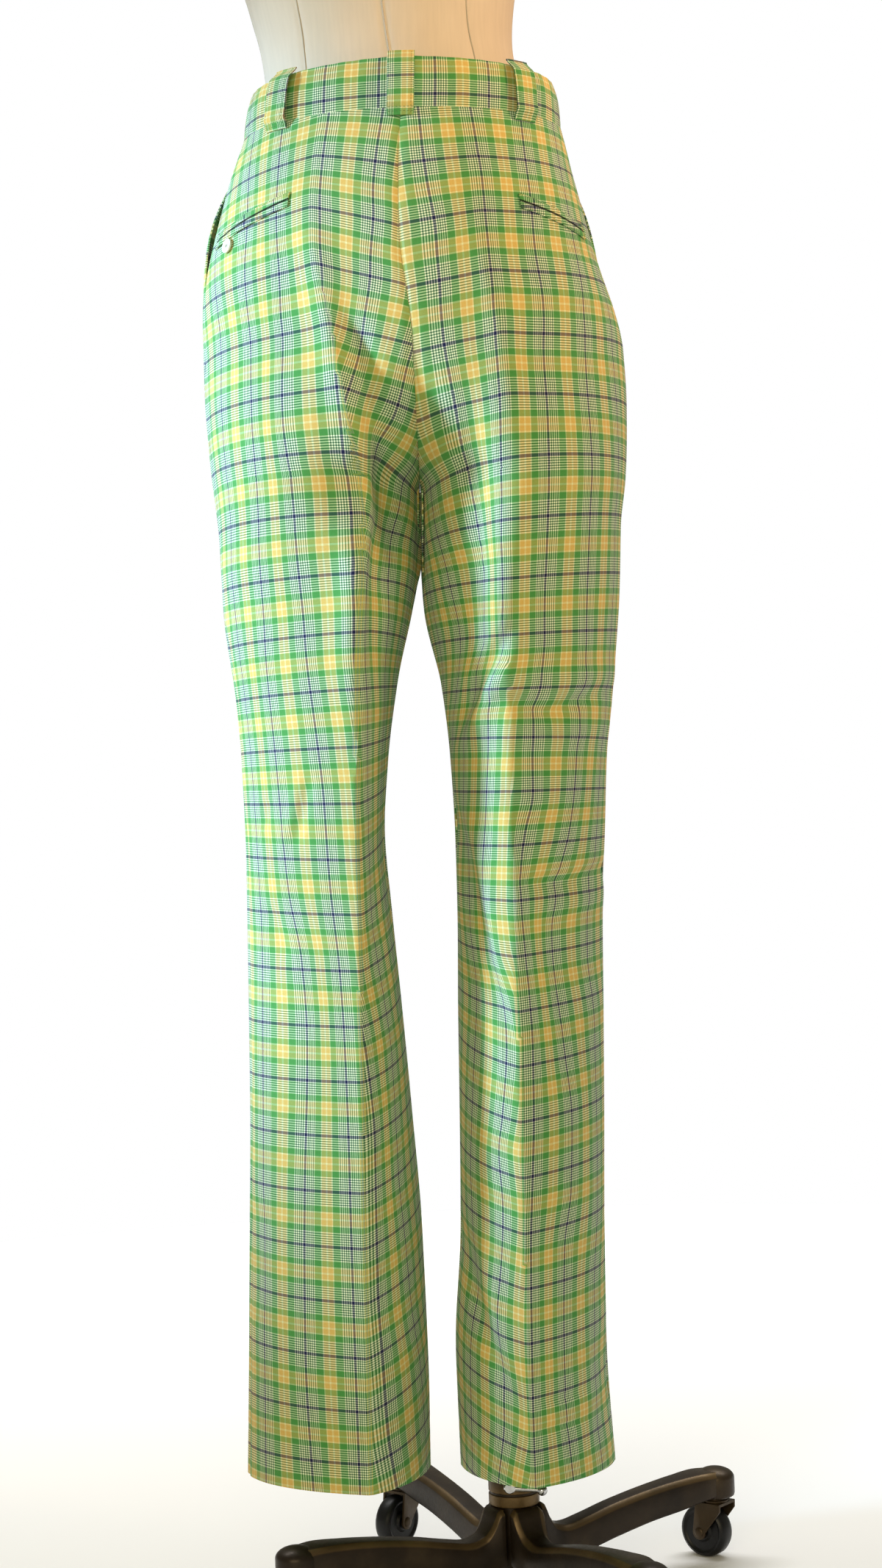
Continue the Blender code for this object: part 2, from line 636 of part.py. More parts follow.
def join_rings(bm, rings):
    """Skin closed rings of vertices one after another and cap both ends."""
    for low, high in zip(rings, rings[1:]):
        for k in range(len(low)):
            after = (k + 1) % len(low)
            bm.faces.new((low[k], low[after], high[after], high[k]))
    bm.faces.new(rings[0][::-1])
    bm.faces.new(rings[-1])


def buttons(parent):
    leg = "left"
    spot = base_point(leg, BACK_BUTTON_Z, BACK_BUTTON_TURN)
    normal = Vector(outward(leg, BACK_BUTTON_Z, BACK_BUTTON_TURN))
    lift = BUTTON_THICKNESS / 2 + 3 * SEAM_GAP
    disc_button("back_pocket_button", Vector(spot) + normal * lift, normal, parent)
    turn = 270.0 - 6.0
    spot = band_point(BAND_BUTTON_Z, turn)
    normal = Vector(band_outward(BAND_BUTTON_Z, turn))
    lift = BUTTON_THICKNESS / 2 + SEAM_GAP
    disc_button("waistband_button", Vector(spot) + normal * lift, normal, parent)


def form_torso(parent):
    """The padded torso: whole, smooth and limbless, flat underneath."""
    bm = bmesh.new()
    turns = np.linspace(0, 360, FORM_STEPS_ROUND, endpoint=False)
    rings = []
    for z in column(FORM_SECTIONS, FORM_COLUMNS, "z"):
        points = ring_point(FORM_SECTIONS, FORM_COLUMNS, np.full_like(turns, z), turns)
        points[:, 0] += read(FORM_LEAN, SWAY_COLUMNS, "shift", z)
        rings.append([bm.verts.new(Vector(p)) for p in points])
    join_rings(bm, rings)
    place("form_torso", bm, "linen", parent)


def turned(bm, profile, sides=32, bore=None):
    """Turn a profile of (radius, height) about Z, solid or round a bore."""
    around = [2 * math.pi * k / sides for k in range(sides)]
    if bore is not None:
        profile = profile + [(bore, profile[-1][1]), (bore, profile[0][1])]
    rings = [
        [bm.verts.new((radius * math.cos(angle), radius * math.sin(angle), height)) for angle in around]
        for radius, height in profile
    ]
    if bore is None:
        join_rings(bm, rings)
        return
    for low, high in zip(rings, rings[1:] + rings[:1]):
        for k in range(sides):
            after = (k + 1) % sides
            bm.faces.new((low[k], low[after], high[after], high[k]))


def neck_cap(parent):
    """A turned wooden cap on the neck."""
    bm = bmesh.new()
    foot = FORM_SECTIONS[-1][0] + SEAM_GAP
    top = NECK_CAP_TOP_Z
    profile = [
        (0.040, foot), (0.046, foot + 0.002), (0.047, foot + 0.008), (0.043, foot + 0.012), (0.034, top),
    ]
    turned(bm, profile, 28)
    centre_x = BODY_X + SWAY[0][1] + FORM_LEAN[-1][1]
    centre_y = (FORM_SECTIONS[-1][2] + FORM_SECTIONS[-1][3]) / 2
    bm.transform(Matrix.Translation((centre_x, POLE_Y + centre_y, 0)))
    place("neck_cap", bm, "wood", parent)


def pole_parts(form, pole):
    bm = bmesh.new()
    profile = [
        (POLE_RADIUS - 0.001, POLE_FOOT_Z),
        (POLE_RADIUS, POLE_FOOT_Z + 0.001),
        (POLE_RADIUS, POLE_TOP_Z),
    ]
    turned(bm, profile, 24)
    place("pole", bm, "bronze", pole)
    bm = bmesh.new()
    top = FORM_SECTIONS[0][0] - SEAM_GAP
    profile = [
        (0.021, FLANGE_FOOT_Z),
        (0.022, top - 0.005),
        (FLANGE_RADIUS, top - 0.004),
        (FLANGE_RADIUS, top),
    ]
    turned(bm, profile, 24, POLE_RADIUS + 2 * SEAM_GAP)
    bm.transform(Matrix.Translation((POLE_X, POLE_Y, 0)))
    place("pole_flange", bm, "bronze", form)


def hub_casting(parent):
    """The socket that the pole slides in, with a collar over the arms' roots."""
    bm = bmesh.new()
    profile = [
        (HUB_CORE_RADIUS - 0.001, HUB_FOOT_Z),
        (HUB_CORE_RADIUS, HUB_FOOT_Z + 0.001),
        (HUB_CORE_RADIUS, HUB_SHOULDER_Z),
        (HUB_COLLAR_RADIUS, HUB_SHOULDER_Z),
        (HUB_COLLAR_RADIUS, HUB_TOP_Z - 0.003),
        (HUB_COLLAR_RADIUS - 0.003, HUB_TOP_Z),
    ]
    turned(bm, profile, 24, POLE_RADIUS + 2 * SEAM_GAP)
    place("stand_hub", bm, "bronze", parent)


def cast_arm(index, parent):
    """One S-curved arm with chamfered top edges, ending in a domed boss over its caster."""
    bm = bmesh.new()
    rings = []
    for reach, foot, top, half in ARM_SECTIONS:
        cut = ARM_CHAMFER
        outline = [
            (-half + cut / 2, foot), (half - cut / 2, foot), (half, foot + cut / 2), (half, top - cut),
            (half - cut, top), (-half + cut, top), (-half, top - cut), (-half, foot + cut / 2),
        ]
        rings.append([bm.verts.new((reach, y, z)) for y, z in outline])
    join_rings(bm, rings)
    bmesh.ops.recalc_face_normals(bm, faces=bm.faces)
    arm = place(f"stand_arm_{index + 1}", bm, "bronze", parent)
    boss = bmesh.new()
    profile = [
        (BOSS_RADIUS - 0.002, BOSS_FOOT_Z),
        (BOSS_RADIUS, BOSS_FOOT_Z + 0.003),
        (BOSS_RADIUS, BOSS_TOP_Z - 0.009),
        (BOSS_RADIUS * 0.86, BOSS_TOP_Z - 0.004),
        (BOSS_RADIUS * 0.55, BOSS_TOP_Z - 0.001),
        (BOSS_RADIUS * 0.20, BOSS_TOP_Z),
    ]
    turned(boss, profile, 18)
    boss.transform(Matrix.Translation((CASTER_REACH, 0, 0)))
    cap = place(f"boss_guide_{index + 1}", boss, "bronze", None)
    cap.hide_render = True
    cap.display_type = "WIRE"
    cap.rotation_euler.z = arm.rotation_euler.z = math.radians(FIRST_ARM_TURN + 360 / ARM_COUNT * index)
    cap.location = (POLE_X, POLE_Y, 0)
    union(arm, cap)
    return arm


def union(target, tool):
    joined = target.modifiers.new("join", "BOOLEAN")
    joined.operation = "UNION"
    joined.solver = "EXACT"
    joined.object = tool


def extruded_plate(outline, low, high):
    """A flat plate whose outline lies in X and Z, from Y low to Y high."""
    bm = bmesh.new()
    rings = [[bm.verts.new((x, y, z)) for x, z in outline] for y in (low, high)]
    join_rings(bm, rings)
    return bm


def fork_outline():
    """Side plate of a caster fork: broad under the swivel, narrowing to a round end at the axle."""
    end = [
        (CASTER_TRAIL + 0.0062 * math.cos(math.radians(a)), WHEEL_RADIUS + 0.0062 * math.sin(math.radians(a)))
        for a in range(0, -181, -30)
    ]
    return [(-0.0115, FORK_TOP_Z), (-0.0115, FORK_TOP_Z - 0.006)] + end[::-1] + [(0.0125, FORK_TOP_Z)]


def caster(index, swivel, axle):
    """A twin-plate fork with its stem and axle, and the wheel between its plates."""
    name = f"caster_fork_{index + 1}"
    inner = FORK_HALF_WIDTH - FORK_PLATE
    fork = place(name, extruded_plate(fork_outline(), -FORK_HALF_WIDTH, -inner), "bronze", swivel)
    under = FORK_TOP_Z - 0.0022
    crown = [(-0.0115, under), (0.0125, under), (0.0125, FORK_TOP_Z), (-0.0115, FORK_TOP_Z)]
    parts = [
        extruded_plate(fork_outline(), inner, FORK_HALF_WIDTH),
        extruded_plate(crown, -inner - 0.001, inner + 0.001),
    ]
    stem = bmesh.new()
    top = BOSS_FOOT_Z - SEAM_GAP
    profile = [
        (0.0108, FORK_TOP_Z - 0.001), (0.0112, FORK_TOP_Z + 0.0006), (0.0112, FORK_TOP_Z + 0.0016),
        (0.0092, FORK_TOP_Z + 0.0020), (0.0092, top),
    ]
    turned(stem, profile, 16)
    parts.append(stem)
    pin = bmesh.new()
    head = FORK_HALF_WIDTH + 0.0014
    profile = [
        (0.0022, -head), (0.0040, -head + 0.0008), (0.0042, -FORK_HALF_WIDTH - 0.0001),
        (AXLE_RADIUS, -FORK_HALF_WIDTH + 0.0006), (AXLE_RADIUS, FORK_HALF_WIDTH - 0.0006),
        (0.0042, FORK_HALF_WIDTH + 0.0001), (0.0040, head - 0.0008), (0.0022, head),
    ]
    turned(pin, profile, 10)
    pin.transform(Matrix.Translation((CASTER_TRAIL, 0, WHEEL_RADIUS)) @ Matrix.Rotation(math.pi / 2, 4, "X"))
    parts.append(pin)
    for number, part in enumerate(parts):
        tool = place(f"{name}_guide_{number}", part, "bronze", swivel)
        tool.hide_render = True
        tool.display_type = "WIRE"
        union(fork, tool)
    tyre = bmesh.new()
    half = WHEEL_HALF_WIDTH
    flat = WHEEL_RADIUS / math.cos(math.pi / WHEEL_SIDES)
    profile = [
        (0.0075, -half - 0.0008), (0.0080, -half), (flat - 0.0042, -half), (flat, -half + 0.0040),
        (flat, half - 0.0040), (flat - 0.0042, half), (0.0080, half), (0.0075, half + 0.0008),
    ]
    turned(tyre, profile, WHEEL_SIDES, WHEEL_BORE)
    tyre.transform(Matrix.Rotation(math.pi / WHEEL_SIDES, 4, "Z"))
    tyre.transform(Matrix.Rotation(math.pi / 2, 4, "X"))
    place(f"caster_wheel_{index + 1}", tyre, "rubber", axle)


def clamp_lever(parent):
    """The small lever that locks the pole in the hub: a screw boss, a tapered arm and a ball."""
    boss = bmesh.new()
    near = -(HUB_COLLAR_RADIUS + SEAM_GAP)
    turned(boss, [(0.0042, 0.0), (0.0046, 0.001), (0.0046, -LEVER_PLANE_Y + near + 0.0035)], 20)
    boss.transform(Matrix.Translation((0, near, 0)) @ Matrix.Rotation(math.pi / 2, 4, "X"))
    lever = place("clamp_lever", boss, "chrome", parent)
    arm = bmesh.new()
    turned(arm, [(0.0029, 0.0), (0.0022, LEVER_LENGTH)], 16)
    arm.transform(Matrix.Translation((0, LEVER_PLANE_Y, 0)) @ Matrix.Rotation(math.radians(97), 4, "Y"))
    ball = bmesh.new()
    bmesh.ops.create_uvsphere(ball, u_segments=12, v_segments=8, radius=LEVER_BALL_RADIUS)
    drop = LEVER_LENGTH * math.sin(math.radians(7))
    ball.transform(Matrix.Translation((LEVER_LENGTH * math.cos(math.radians(7)), LEVER_PLANE_Y, -drop)))
    for number, part in enumerate((arm, ball)):
        tool = place(f"clamp_guide_{number}", part, "chrome", parent)
        tool.hide_render = True
        tool.display_type = "WIRE"
        union(lever, tool)


def pivot(name, location=(0.0, 0.0, 0.0), turn=0.0, parent=None):
    made = bpy.data.objects.new(name, None)
    made.location = location
    made.rotation_euler.z = math.radians(turn)
    made.parent = parent
    bpy.context.scene.collection.objects.link(made)
    return made


def build_trousers(form):
    for leg in ("left", "right"):
        trouser_panel(leg, "back", form)
        trouser_panel(leg, "front", form)
        pocket_facing(leg, form)
        waistband_half(leg, form)
    for index, turn in enumerate(loop_turns()):
        belt_loop(index, turn, form)
    for row in BACK_POCKETS:
        pocket_jets(dict(zip(BACK_POCKET_COLUMNS, row)), form)
    fly_lap(form)
    buttons(form)


def build_stand():
    stand = pivot("stand_axis", (POLE_X, POLE_Y, 0))
    hub_casting(stand)
    clamp_lever(pivot("clamp_axis", (LEVER_OFFSET_X, 0, LEVER_Z), parent=stand))
    for index in range(ARM_COUNT):
        arm = cast_arm(index, None)
        arm.location = (POLE_X, POLE_Y, 0)
        turn = FIRST_ARM_TURN + 360 / ARM_COUNT * index
        where = (
            CASTER_REACH * math.cos(math.radians(turn)),
            CASTER_REACH * math.sin(math.radians(turn)),
            0,
        )
        swivel = pivot(f"swivel_axis_{index + 1}", where, turn + CASTER_TURN_TO_ARM, stand)
        axle = pivot(f"axle_{index + 1}", (CASTER_TRAIL, 0, WHEEL_RADIUS), parent=swivel)
        caster(index, swivel, axle)
    return stand


clear_scene()
form_axis = pivot("form_axis")
build_trousers(form_axis)
form_torso(form_axis)
neck_cap(form_axis)
stand_axis = build_stand()
pole_parts(form_axis, stand_axis)
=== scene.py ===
"""Plaid tailored trousers on a limbless dress form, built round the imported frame.

Metres, +Z up, standing on z = 0. The back of the trousers faces -Y, and the wearer's right leg,
which the pole goes down through, is on +X.
"""

import math

import bmesh
import bpy
import numpy as np
from mathutils import Matrix, Vector


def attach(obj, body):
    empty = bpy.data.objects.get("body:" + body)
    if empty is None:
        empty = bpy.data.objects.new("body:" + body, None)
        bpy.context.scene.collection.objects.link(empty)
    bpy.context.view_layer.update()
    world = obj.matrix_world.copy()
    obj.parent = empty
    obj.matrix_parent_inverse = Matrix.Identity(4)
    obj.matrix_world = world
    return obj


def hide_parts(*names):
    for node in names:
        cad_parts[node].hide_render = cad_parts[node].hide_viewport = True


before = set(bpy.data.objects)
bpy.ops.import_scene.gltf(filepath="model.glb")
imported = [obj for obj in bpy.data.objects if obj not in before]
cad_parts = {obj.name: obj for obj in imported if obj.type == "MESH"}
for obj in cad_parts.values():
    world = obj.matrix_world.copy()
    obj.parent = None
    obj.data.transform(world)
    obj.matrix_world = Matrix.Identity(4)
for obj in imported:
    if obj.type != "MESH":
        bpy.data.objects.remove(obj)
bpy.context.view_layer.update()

# The cloth is a light plain-weave cotton in a windowpane check. Every stripe is dyed yarn, so where
# two colours cross both show, thread by thread. The warp runs down the leg, the weft round it.
WARP_REPEAT = 0.0372
WEFT_REPEAT = 0.0436
THREADS_PER_REPEAT = 74


def screen_tone(red, green, blue):
    """A colour as a screen shows it, turned into light."""
    levels = [value / 255 for value in (red, green, blue)]
    return tuple(c / 12.92 if c < 0.04045 else ((c + 0.055) / 1.055) ** 2.4 for c in levels) + (1.0,)


YARN = {
    "cream": (236, 244, 208),
    "leaf": (28, 90, 44),
    "green": (74, 150, 70),
    "yellow": (220, 186, 98),
    "straw": (228, 226, 168),
    "navy": (22, 26, 70),
}


def set_inputs(tree, node, inputs):
    """Set a node's inputs, each to a plain value or from another node's output."""
    for name, value in inputs.items():
        if isinstance(value, bpy.types.NodeSocket):
            tree.links.new(value, node.inputs[name])
        else:
            node.inputs[name].default_value = value


def add_node(tree, kind, inputs, **settings):
    node = tree.nodes.new(kind)
    for name, value in settings.items():
        setattr(node, name, value)
    set_inputs(tree, node, inputs)
    return node


def math_node(tree, operation, first, second=0.0):
    return add_node(tree, "ShaderNodeMath", {0: first, 1: second}, operation=operation).outputs[0]


def gamma_node(tree, colour, power):
    return add_node(tree, "ShaderNodeGamma", {"Color": colour, "Gamma": power}).outputs["Color"]


def node_noise(tree, scale, detail, vector):
    inputs = {"Scale": scale, "Detail": detail, "Vector": vector}
    return add_node(tree, "ShaderNodeTexNoise", inputs).outputs["Fac"]


def map_range(tree, value, low, high):
    inputs = {"Value": value, "To Min": low, "To Max": high}
    return add_node(tree, "ShaderNodeMapRange", inputs).outputs["Result"]


def dimmed(tree, colour, level):
    inputs = {0: colour, "Scale": level}
    return add_node(tree, "ShaderNodeVectorMath", inputs, operation="SCALE").outputs["Vector"]


def colour_run(tree, factor, stops, interpolation="LINEAR"):
    """Run through screen colours, each given at its place from 0 to 1."""
    ramp = add_node(tree, "ShaderNodeValToRGB", {0: factor})
    elements = ramp.color_ramp.elements
    ramp.color_ramp.interpolation = interpolation
    elements.remove(elements[1])
    for number, (at, colour) in enumerate(stops):
        stop = elements[0] if number == 0 else elements.new(at)
        stop.position = at
        stop.color = screen_tone(*colour)
    return ramp.outputs["Color"]


def raise_by(tree, shader, height, strength, distance):
    inputs = {"Height": height, "Strength": strength, "Distance": distance}
    set_inputs(tree, shader, {"Normal": add_node(tree, "ShaderNodeBump", inputs).outputs["Normal"]})


def new_material(name):
    made = bpy.data.materials.new(name)
    made.use_nodes = True
    return made, made.node_tree, made.node_tree.nodes["Principled BSDF"]


def stripe_order(thin_pairs, thin, navy, green, yellow):
    """The coloured stripes of one repeat, from the middle of one navy line to the next."""
    fine = [("cream", thin)] + [("leaf", thin), ("cream", thin)] * thin_pairs
    block = [("straw", 0.1), ("yellow", 0.33), ("straw", 0.14), ("yellow", 0.33), ("straw", 0.1)]
    middle = [(yarn, share * yellow) for yarn, share in block]
    return [("navy", navy / 2)] + fine + [("green", green)] + middle + [("green", green)] + fine


def stripe_ramp(tree, order, coordinate):
    """A repeating run of hard-edged stripes across one coordinate of the cloth."""
    order = order + order[:1]
    ends = np.cumsum([0.0] + [share for _, share in order])
    stops = [(end / ends[-1], YARN[yarn]) for (yarn, _), end in zip(order, ends)]
    return colour_run(tree, math_node(tree, "FRACT", coordinate), stops, "CONSTANT")


def woven_threads(tree, across, along, count):
    """The over and under of a plain weave, -1 to 1, with count threads to each unit."""
    turns = 2 * math.pi * count
    waves = [math_node(tree, "SINE", math_node(tree, "MULTIPLY", way, turns)) for way in (across, along)]
    return math_node(tree, "MULTIPLY", *waves)


def plaid_cotton(name, shade):
    """The check, woven from both runs of stripes; shade scales its colour down, as painted shadow for cloth
    that lies deep in a slit.
    """
    made, tree, shader = new_material(name)
    grain = add_node(tree, "ShaderNodeUVMap", {}, uv_map="grain").outputs["UV"]
    split = add_node(tree, "ShaderNodeSeparateXYZ", {0: grain})
    across, along = split.outputs["X"], split.outputs["Y"]
    warp = stripe_ramp(tree, stripe_order(4, 0.0214, 0.052, 0.138, 0.256), across)
    weft = stripe_ramp(tree, stripe_order(5, 0.0210, 0.054, 0.106, 0.256), along)
    woven = woven_threads(tree, across, along, THREADS_PER_REPEAT)
    crossing = add_node(tree, "ShaderNodeMix", {
        "Factor": math_node(tree, "ADD", math_node(tree, "MULTIPLY", woven, 0.22), 0.5),
        "A": gamma_node(tree, warp, 1 / 2.2),
        "B": gamma_node(tree, weft, 1 / 2.2),
    }, data_type="RGBA")
    blend = gamma_node(tree, crossing.outputs["Result"], 2.2)
    slub = node_noise(tree, 34.0, 5.0, grain)
    set_inputs(tree, shader, {
        "Base Color": dimmed(tree, blend, map_range(tree, slub, 0.86 * shade, 1.10 * shade)),
        "Roughness": 0.82,
        "Sheen Weight": 0.12,
        "Sheen Roughness": 0.5,
        "Specular IOR Level": 0.25,
    })
    height = math_node(tree, "ADD", math_node(tree, "MULTIPLY", woven, 0.35), slub)
    raise_by(tree, shader, height, 0.35, 0.0006)
    return made


cotton = plaid_cotton("plaid_cotton", 1.0)
# A copy of the cloth dimmed to about a sixth is painted shadow for the faces deep in the back pocket slits.
slit_shadow_cotton = plaid_cotton("slit_shadow_cotton", 0.16)

# The legs: two back and two front panels, cut from the plaid cotton and sewn along the side seams,
# inseams and seat seam. They hang from the waist over the form's hips and are pressed to a crease.
BODY_X = -0.0370
WAIST_SEAM_Z = 1.180
CROTCH_Z = 0.895
HEM_Z = 0.113
CLOTH_THICKNESS = 0.0011
SEAM_GAP = 0.0003

# Level sections of both legs. "out" is the side seam, "in" the inseam (negative where the section
# runs on past the middle plane, above the crotch), and "crease" the pressed line at the back.
SECTION_COLUMNS = (
    "z", "left_out", "left_in", "left_crease", "right_out", "right_in", "right_crease", "back", "front",
)
SECTIONS = (
    (1.180, 0.1280, -0.1280, 0.060, 0.1280, -0.1280, 0.056, -0.0985, 0.0930),
    (1.150, 0.1370, -0.1370, 0.063, 0.1370, -0.1370, 0.059, -0.1050, 0.1000),
    (1.110, 0.1478, -0.1478, 0.066, 0.1478, -0.1478, 0.062, -0.1135, 0.1070),
    (1.065, 0.1590, -0.1590, 0.065, 0.1590, -0.1590, 0.064, -0.1205, 0.1115),
    (1.030, 0.1655, -0.1655, 0.062, 0.1655, -0.1655, 0.066, -0.1238, 0.1130),
    (1.000, 0.1683, -0.1330, 0.059, 0.1683, -0.1330, 0.066, -0.1250, 0.1132),
    (0.970, 0.1688, -0.0880, 0.057, 0.1688, -0.0880, 0.067, -0.1248, 0.1125),
    (0.940, 0.1678, -0.0450, 0.054, 0.1678, -0.0450, 0.068, -0.1235, 0.1105),
    (0.915, 0.1664, -0.0165, 0.050, 0.1664, -0.0165, 0.068, -0.1218, 0.1085),
    (0.895, 0.1645, 0.0004, 0.048, 0.1645, 0.0004, 0.068, -0.1200, 0.1065),
    (0.860, 0.1608, 0.0005, 0.046, 0.1608, 0.0005, 0.068, -0.1165, 0.1025),
    (0.835, 0.1593, 0.0008, 0.0458, 0.1606, 0.0008, 0.0677, -0.1138, 0.0996),
    (0.800, 0.1570, 0.0060, 0.0455, 0.1600, 0.0035, 0.067, -0.1100, 0.0955),
    (0.740, 0.1490, 0.0190, 0.049, 0.1555, 0.0165, 0.068, -0.1030, 0.0885),
    (0.680, 0.1457, 0.0285, 0.051, 0.1475, 0.0215, 0.0675, -0.0960, 0.0815),
    (0.620, 0.1450, 0.0333, 0.053, 0.1436, 0.0230, 0.067, -0.0900, 0.0760),
    (0.560, 0.1460, 0.0300, 0.054, 0.1395, 0.0225, 0.0665, -0.0865, 0.0730),
    (0.480, 0.1478, 0.0248, 0.0560, 0.1370, 0.0200, 0.0660, -0.0860, 0.0730),
    (0.400, 0.1500, 0.0202, 0.0575, 0.1345, 0.0181, 0.0650, -0.0868, 0.0755),
    (0.300, 0.1545, 0.0155, 0.0600, 0.1310, 0.0150, 0.0640, -0.0880, 0.0795),
    (0.200, 0.1590, 0.0147, 0.0615, 0.1293, 0.0075, 0.0632, -0.0900, 0.0840),
    (0.113, 0.1633, 0.0162, 0.0625, 0.1325, 0.0080, 0.0634, -0.0920, 0.0880),
)
# How far the trousers' middle plane swings to +X at each height: they hang a little off true.
SWAY = (
    (1.230, 0.0046),
    (1.180, 0.0022),
    (1.140, -0.0010),
    (1.080, -0.0025),
    (1.000, 0.0045),
    (0.900, 0.0055),
    (0.830, 0.0030),
    (0.750, 0.0),
    (0.113, 0.0),
)
# Roundness across the leg: 2 is an ellipse, less is drawn out to a crease at back and front.
ROUNDNESS = ((1.180, 2.10), (0.930, 2.00), (0.860, 1.80), (0.700, 1.45), (0.113, 1.35))
SIDE_SEAM_TURN = {"left": 9.0, "right": 2.0}
LEGS = ("left", "right")


def smooth_through(places, values, at):
    """Read a curve that passes through the values without overshooting them."""
    order = np.argsort(places)
    x, y = np.asarray(places, float)[order], np.asarray(values, float)[order]
    step = np.diff(x)
    slope = np.diff(y) / step
    tangent = np.zeros_like(y)
    same_way = slope[1:] * slope[:-1] > 0
    both = np.where(same_way, slope[1:] + slope[:-1], 1.0)
    tangent[1:-1] = np.where(same_way, 2 * slope[1:] * slope[:-1] / both, 0.0)
    tangent[0], tangent[-1] = slope[0], slope[-1]
    at = np.clip(np.asarray(at, float), x[0], x[-1])
    i = np.clip(np.searchsorted(x, at, side="right") - 1, 0, len(step) - 1)
    t = (at - x[i]) / step[i]
    start = (1 + 2 * t) * (1 - t) ** 2 * y[i] + t * (1 - t) ** 2 * step[i] * tangent[i]
    end = t * t * (3 - 2 * t) * y[i + 1] - t * t * (1 - t) * step[i] * tangent[i + 1]
    return start + end


def read_rows(rows, z, column=1):
    """A column of a table whose first column is height, read at any height."""
    table = np.array(rows, float)
    return smooth_through(table[:, 0], table[:, column], z)


def section_value(name, z):
    return read_rows(SECTIONS, z, SECTION_COLUMNS.index(name))


def ease(start, end, at):
    """Go smoothly from 0 at start to 1 at end."""
    t = np.clip((np.asarray(at, float) - start) / (end - start), 0.0, 1.0)
    return t * t * (3 - 2 * t)


def side_sign(leg):
    return -1.0 if leg == "left" else 1.0


def rounded(cosine, power):
    return np.sign(cosine) * np.abs(cosine) ** power


def leg_point(leg, z, turn):
    """A point of one leg's tube. turn is 0 at the outer side, 90 at the back, 180 at the inside."""
    z = np.asarray(z, float)
    out, inside = section_value(leg + "_out", z), section_value(leg + "_in", z)
    back, front = section_value("back", z), section_value("front", z)
    middle = (out + inside) / 2
    offset = (section_value(leg + "_crease", z) - middle) * ease(0.895, 0.800, z)
    angle = np.radians(turn)
    cosine, sine = np.cos(angle), np.sin(angle)
    peak = middle + np.where(sine >= 0, offset, -offset)
    bend = rounded(cosine, 2 / read_rows(ROUNDNESS, z))
    x = peak + np.where(cosine >= 0, (out - peak) * bend, (peak - inside) * bend)
    centre_y = (back + front) / 2
    y = centre_y + (np.where(sine >= 0, back, front) - centre_y) * np.abs(sine)
    return np.stack([BODY_X + read_rows(SWAY, z) + side_sign(leg) * x, y, z + 0 * x], axis=-1)


def from_middle(leg, points):
    """How far points lie outwards of the trousers' middle plane."""
    return side_sign(leg) * (points[..., 0] - BODY_X - read_rows(SWAY, points[..., 2]))


def leg_outward(leg, z, turn):
    """The cloth's outward direction, from short steps along and down the tube."""
    along = leg_point(leg, z, turn + 1.5) - leg_point(leg, z, turn - 1.5)
    up = leg_point(leg, z + 0.002, turn) - leg_point(leg, z - 0.002, turn)
    normal = np.cross(along, up) * -side_sign(leg)
    return normal / np.linalg.norm(normal, axis=-1, keepdims=True)


def crossing_turn(leg, z, face):
    """The angle where a level section meets the seat seam, or the inseam below the crotch."""
    sign = 1.0 if face == "back" else -1.0
    low, high = np.full_like(z, 60.0), np.full_like(z, 180.0)
    for _ in range(32):
        middle = (low + high) / 2
        outside = from_middle(leg, leg_point(leg, z, sign * middle)) > SEAM_GAP / 4
        low, high = np.where(outside, middle, low), np.where(outside, high, middle)
    return sign * np.where(z <= CROTCH_Z, 180.0, low)


def along_run(points):
    """Distance run from the first to each point of a line, or of many lines at once."""
    steps = np.linalg.norm(np.diff(points, axis=-2), axis=-1)
    return np.concatenate([np.zeros_like(steps[..., :1]), np.cumsum(steps, axis=-1)], axis=-1)


# Heights of a panel's rows at its outer edge; between them the finer rows are spread evenly.
ROWS_HIP = (1.180, 1.165, 1.140, 1.110, 1.087, 1.065, 1.0475, 1.030, 1.000)
ROWS_SEAT = (0.983, 0.966, 0.949, 0.932, 0.915, 0.898, 0.880)
ROWS_LEG = (
    0.855, 0.825, 0.790, 0.760, 0.733, 0.706, 0.670, 0.620, 0.560, 0.485, 0.410, 0.335, 0.260, 0.185, HEM_Z,
)
ROW_PITCH = 0.0034
PANEL_COLUMNS = 76
POCKET_MOUTH_REACH = 0.034
POCKET_MOUTH_FOOT_Z = 1.050


def fine_rows(leg, face):
    """Outer and inner heights of a panel's fine rows; the inner ends follow the seat seam."""
    z = np.linspace(ROWS_HIP[-1], CROTCH_Z + 1e-5, 160)
    run = along_run(leg_point(leg, z, crossing_turn(leg, z, face)))
    seat = np.interp(np.linspace(0, run[-1], len(ROWS_SEAT) + 1)[1:], run, z)
    seat[-1] = CROTCH_Z
    outer = np.array(ROWS_HIP + ROWS_SEAT + ROWS_LEG)
    drift = [height + 0.018 * float(ease(0.740, ROWS_LEG[0], height)) for height in ROWS_LEG]
    inner = np.array(list(ROWS_HIP) + list(seat) + drift)
    marks = [0.0]
    for drop in -np.diff(outer):
        parts = max(2, round(drop / ROW_PITCH))
        marks += list(marks[-1] + np.arange(1, parts + 1) / parts)
    return np.interp(marks, range(len(outer)), outer), np.interp(marks, range(len(inner)), inner)


def mouth_share(z):
    """How far up the slanted pocket mouth a height is, 0 at its foot and 1 at the waist."""
    return np.clip((z - POCKET_MOUTH_FOOT_Z) / (WAIST_SEAM_Z - POCKET_MOUTH_FOOT_Z), 0.0, 1.0)


def mouth_reach(z):
    """How far from the side seam the pocket mouth has cut into the front panel."""
    return POCKET_MOUTH_REACH * mouth_share(z)


def mouth_gape(z, steps_in):
    """How far the mouth's edge stands off, at a height and some twelfths of the panel in from it."""
    return 0.006 * np.exp(-((steps_in / 1.6) ** 2)) * np.sin(np.pi * mouth_share(z)) ** 2


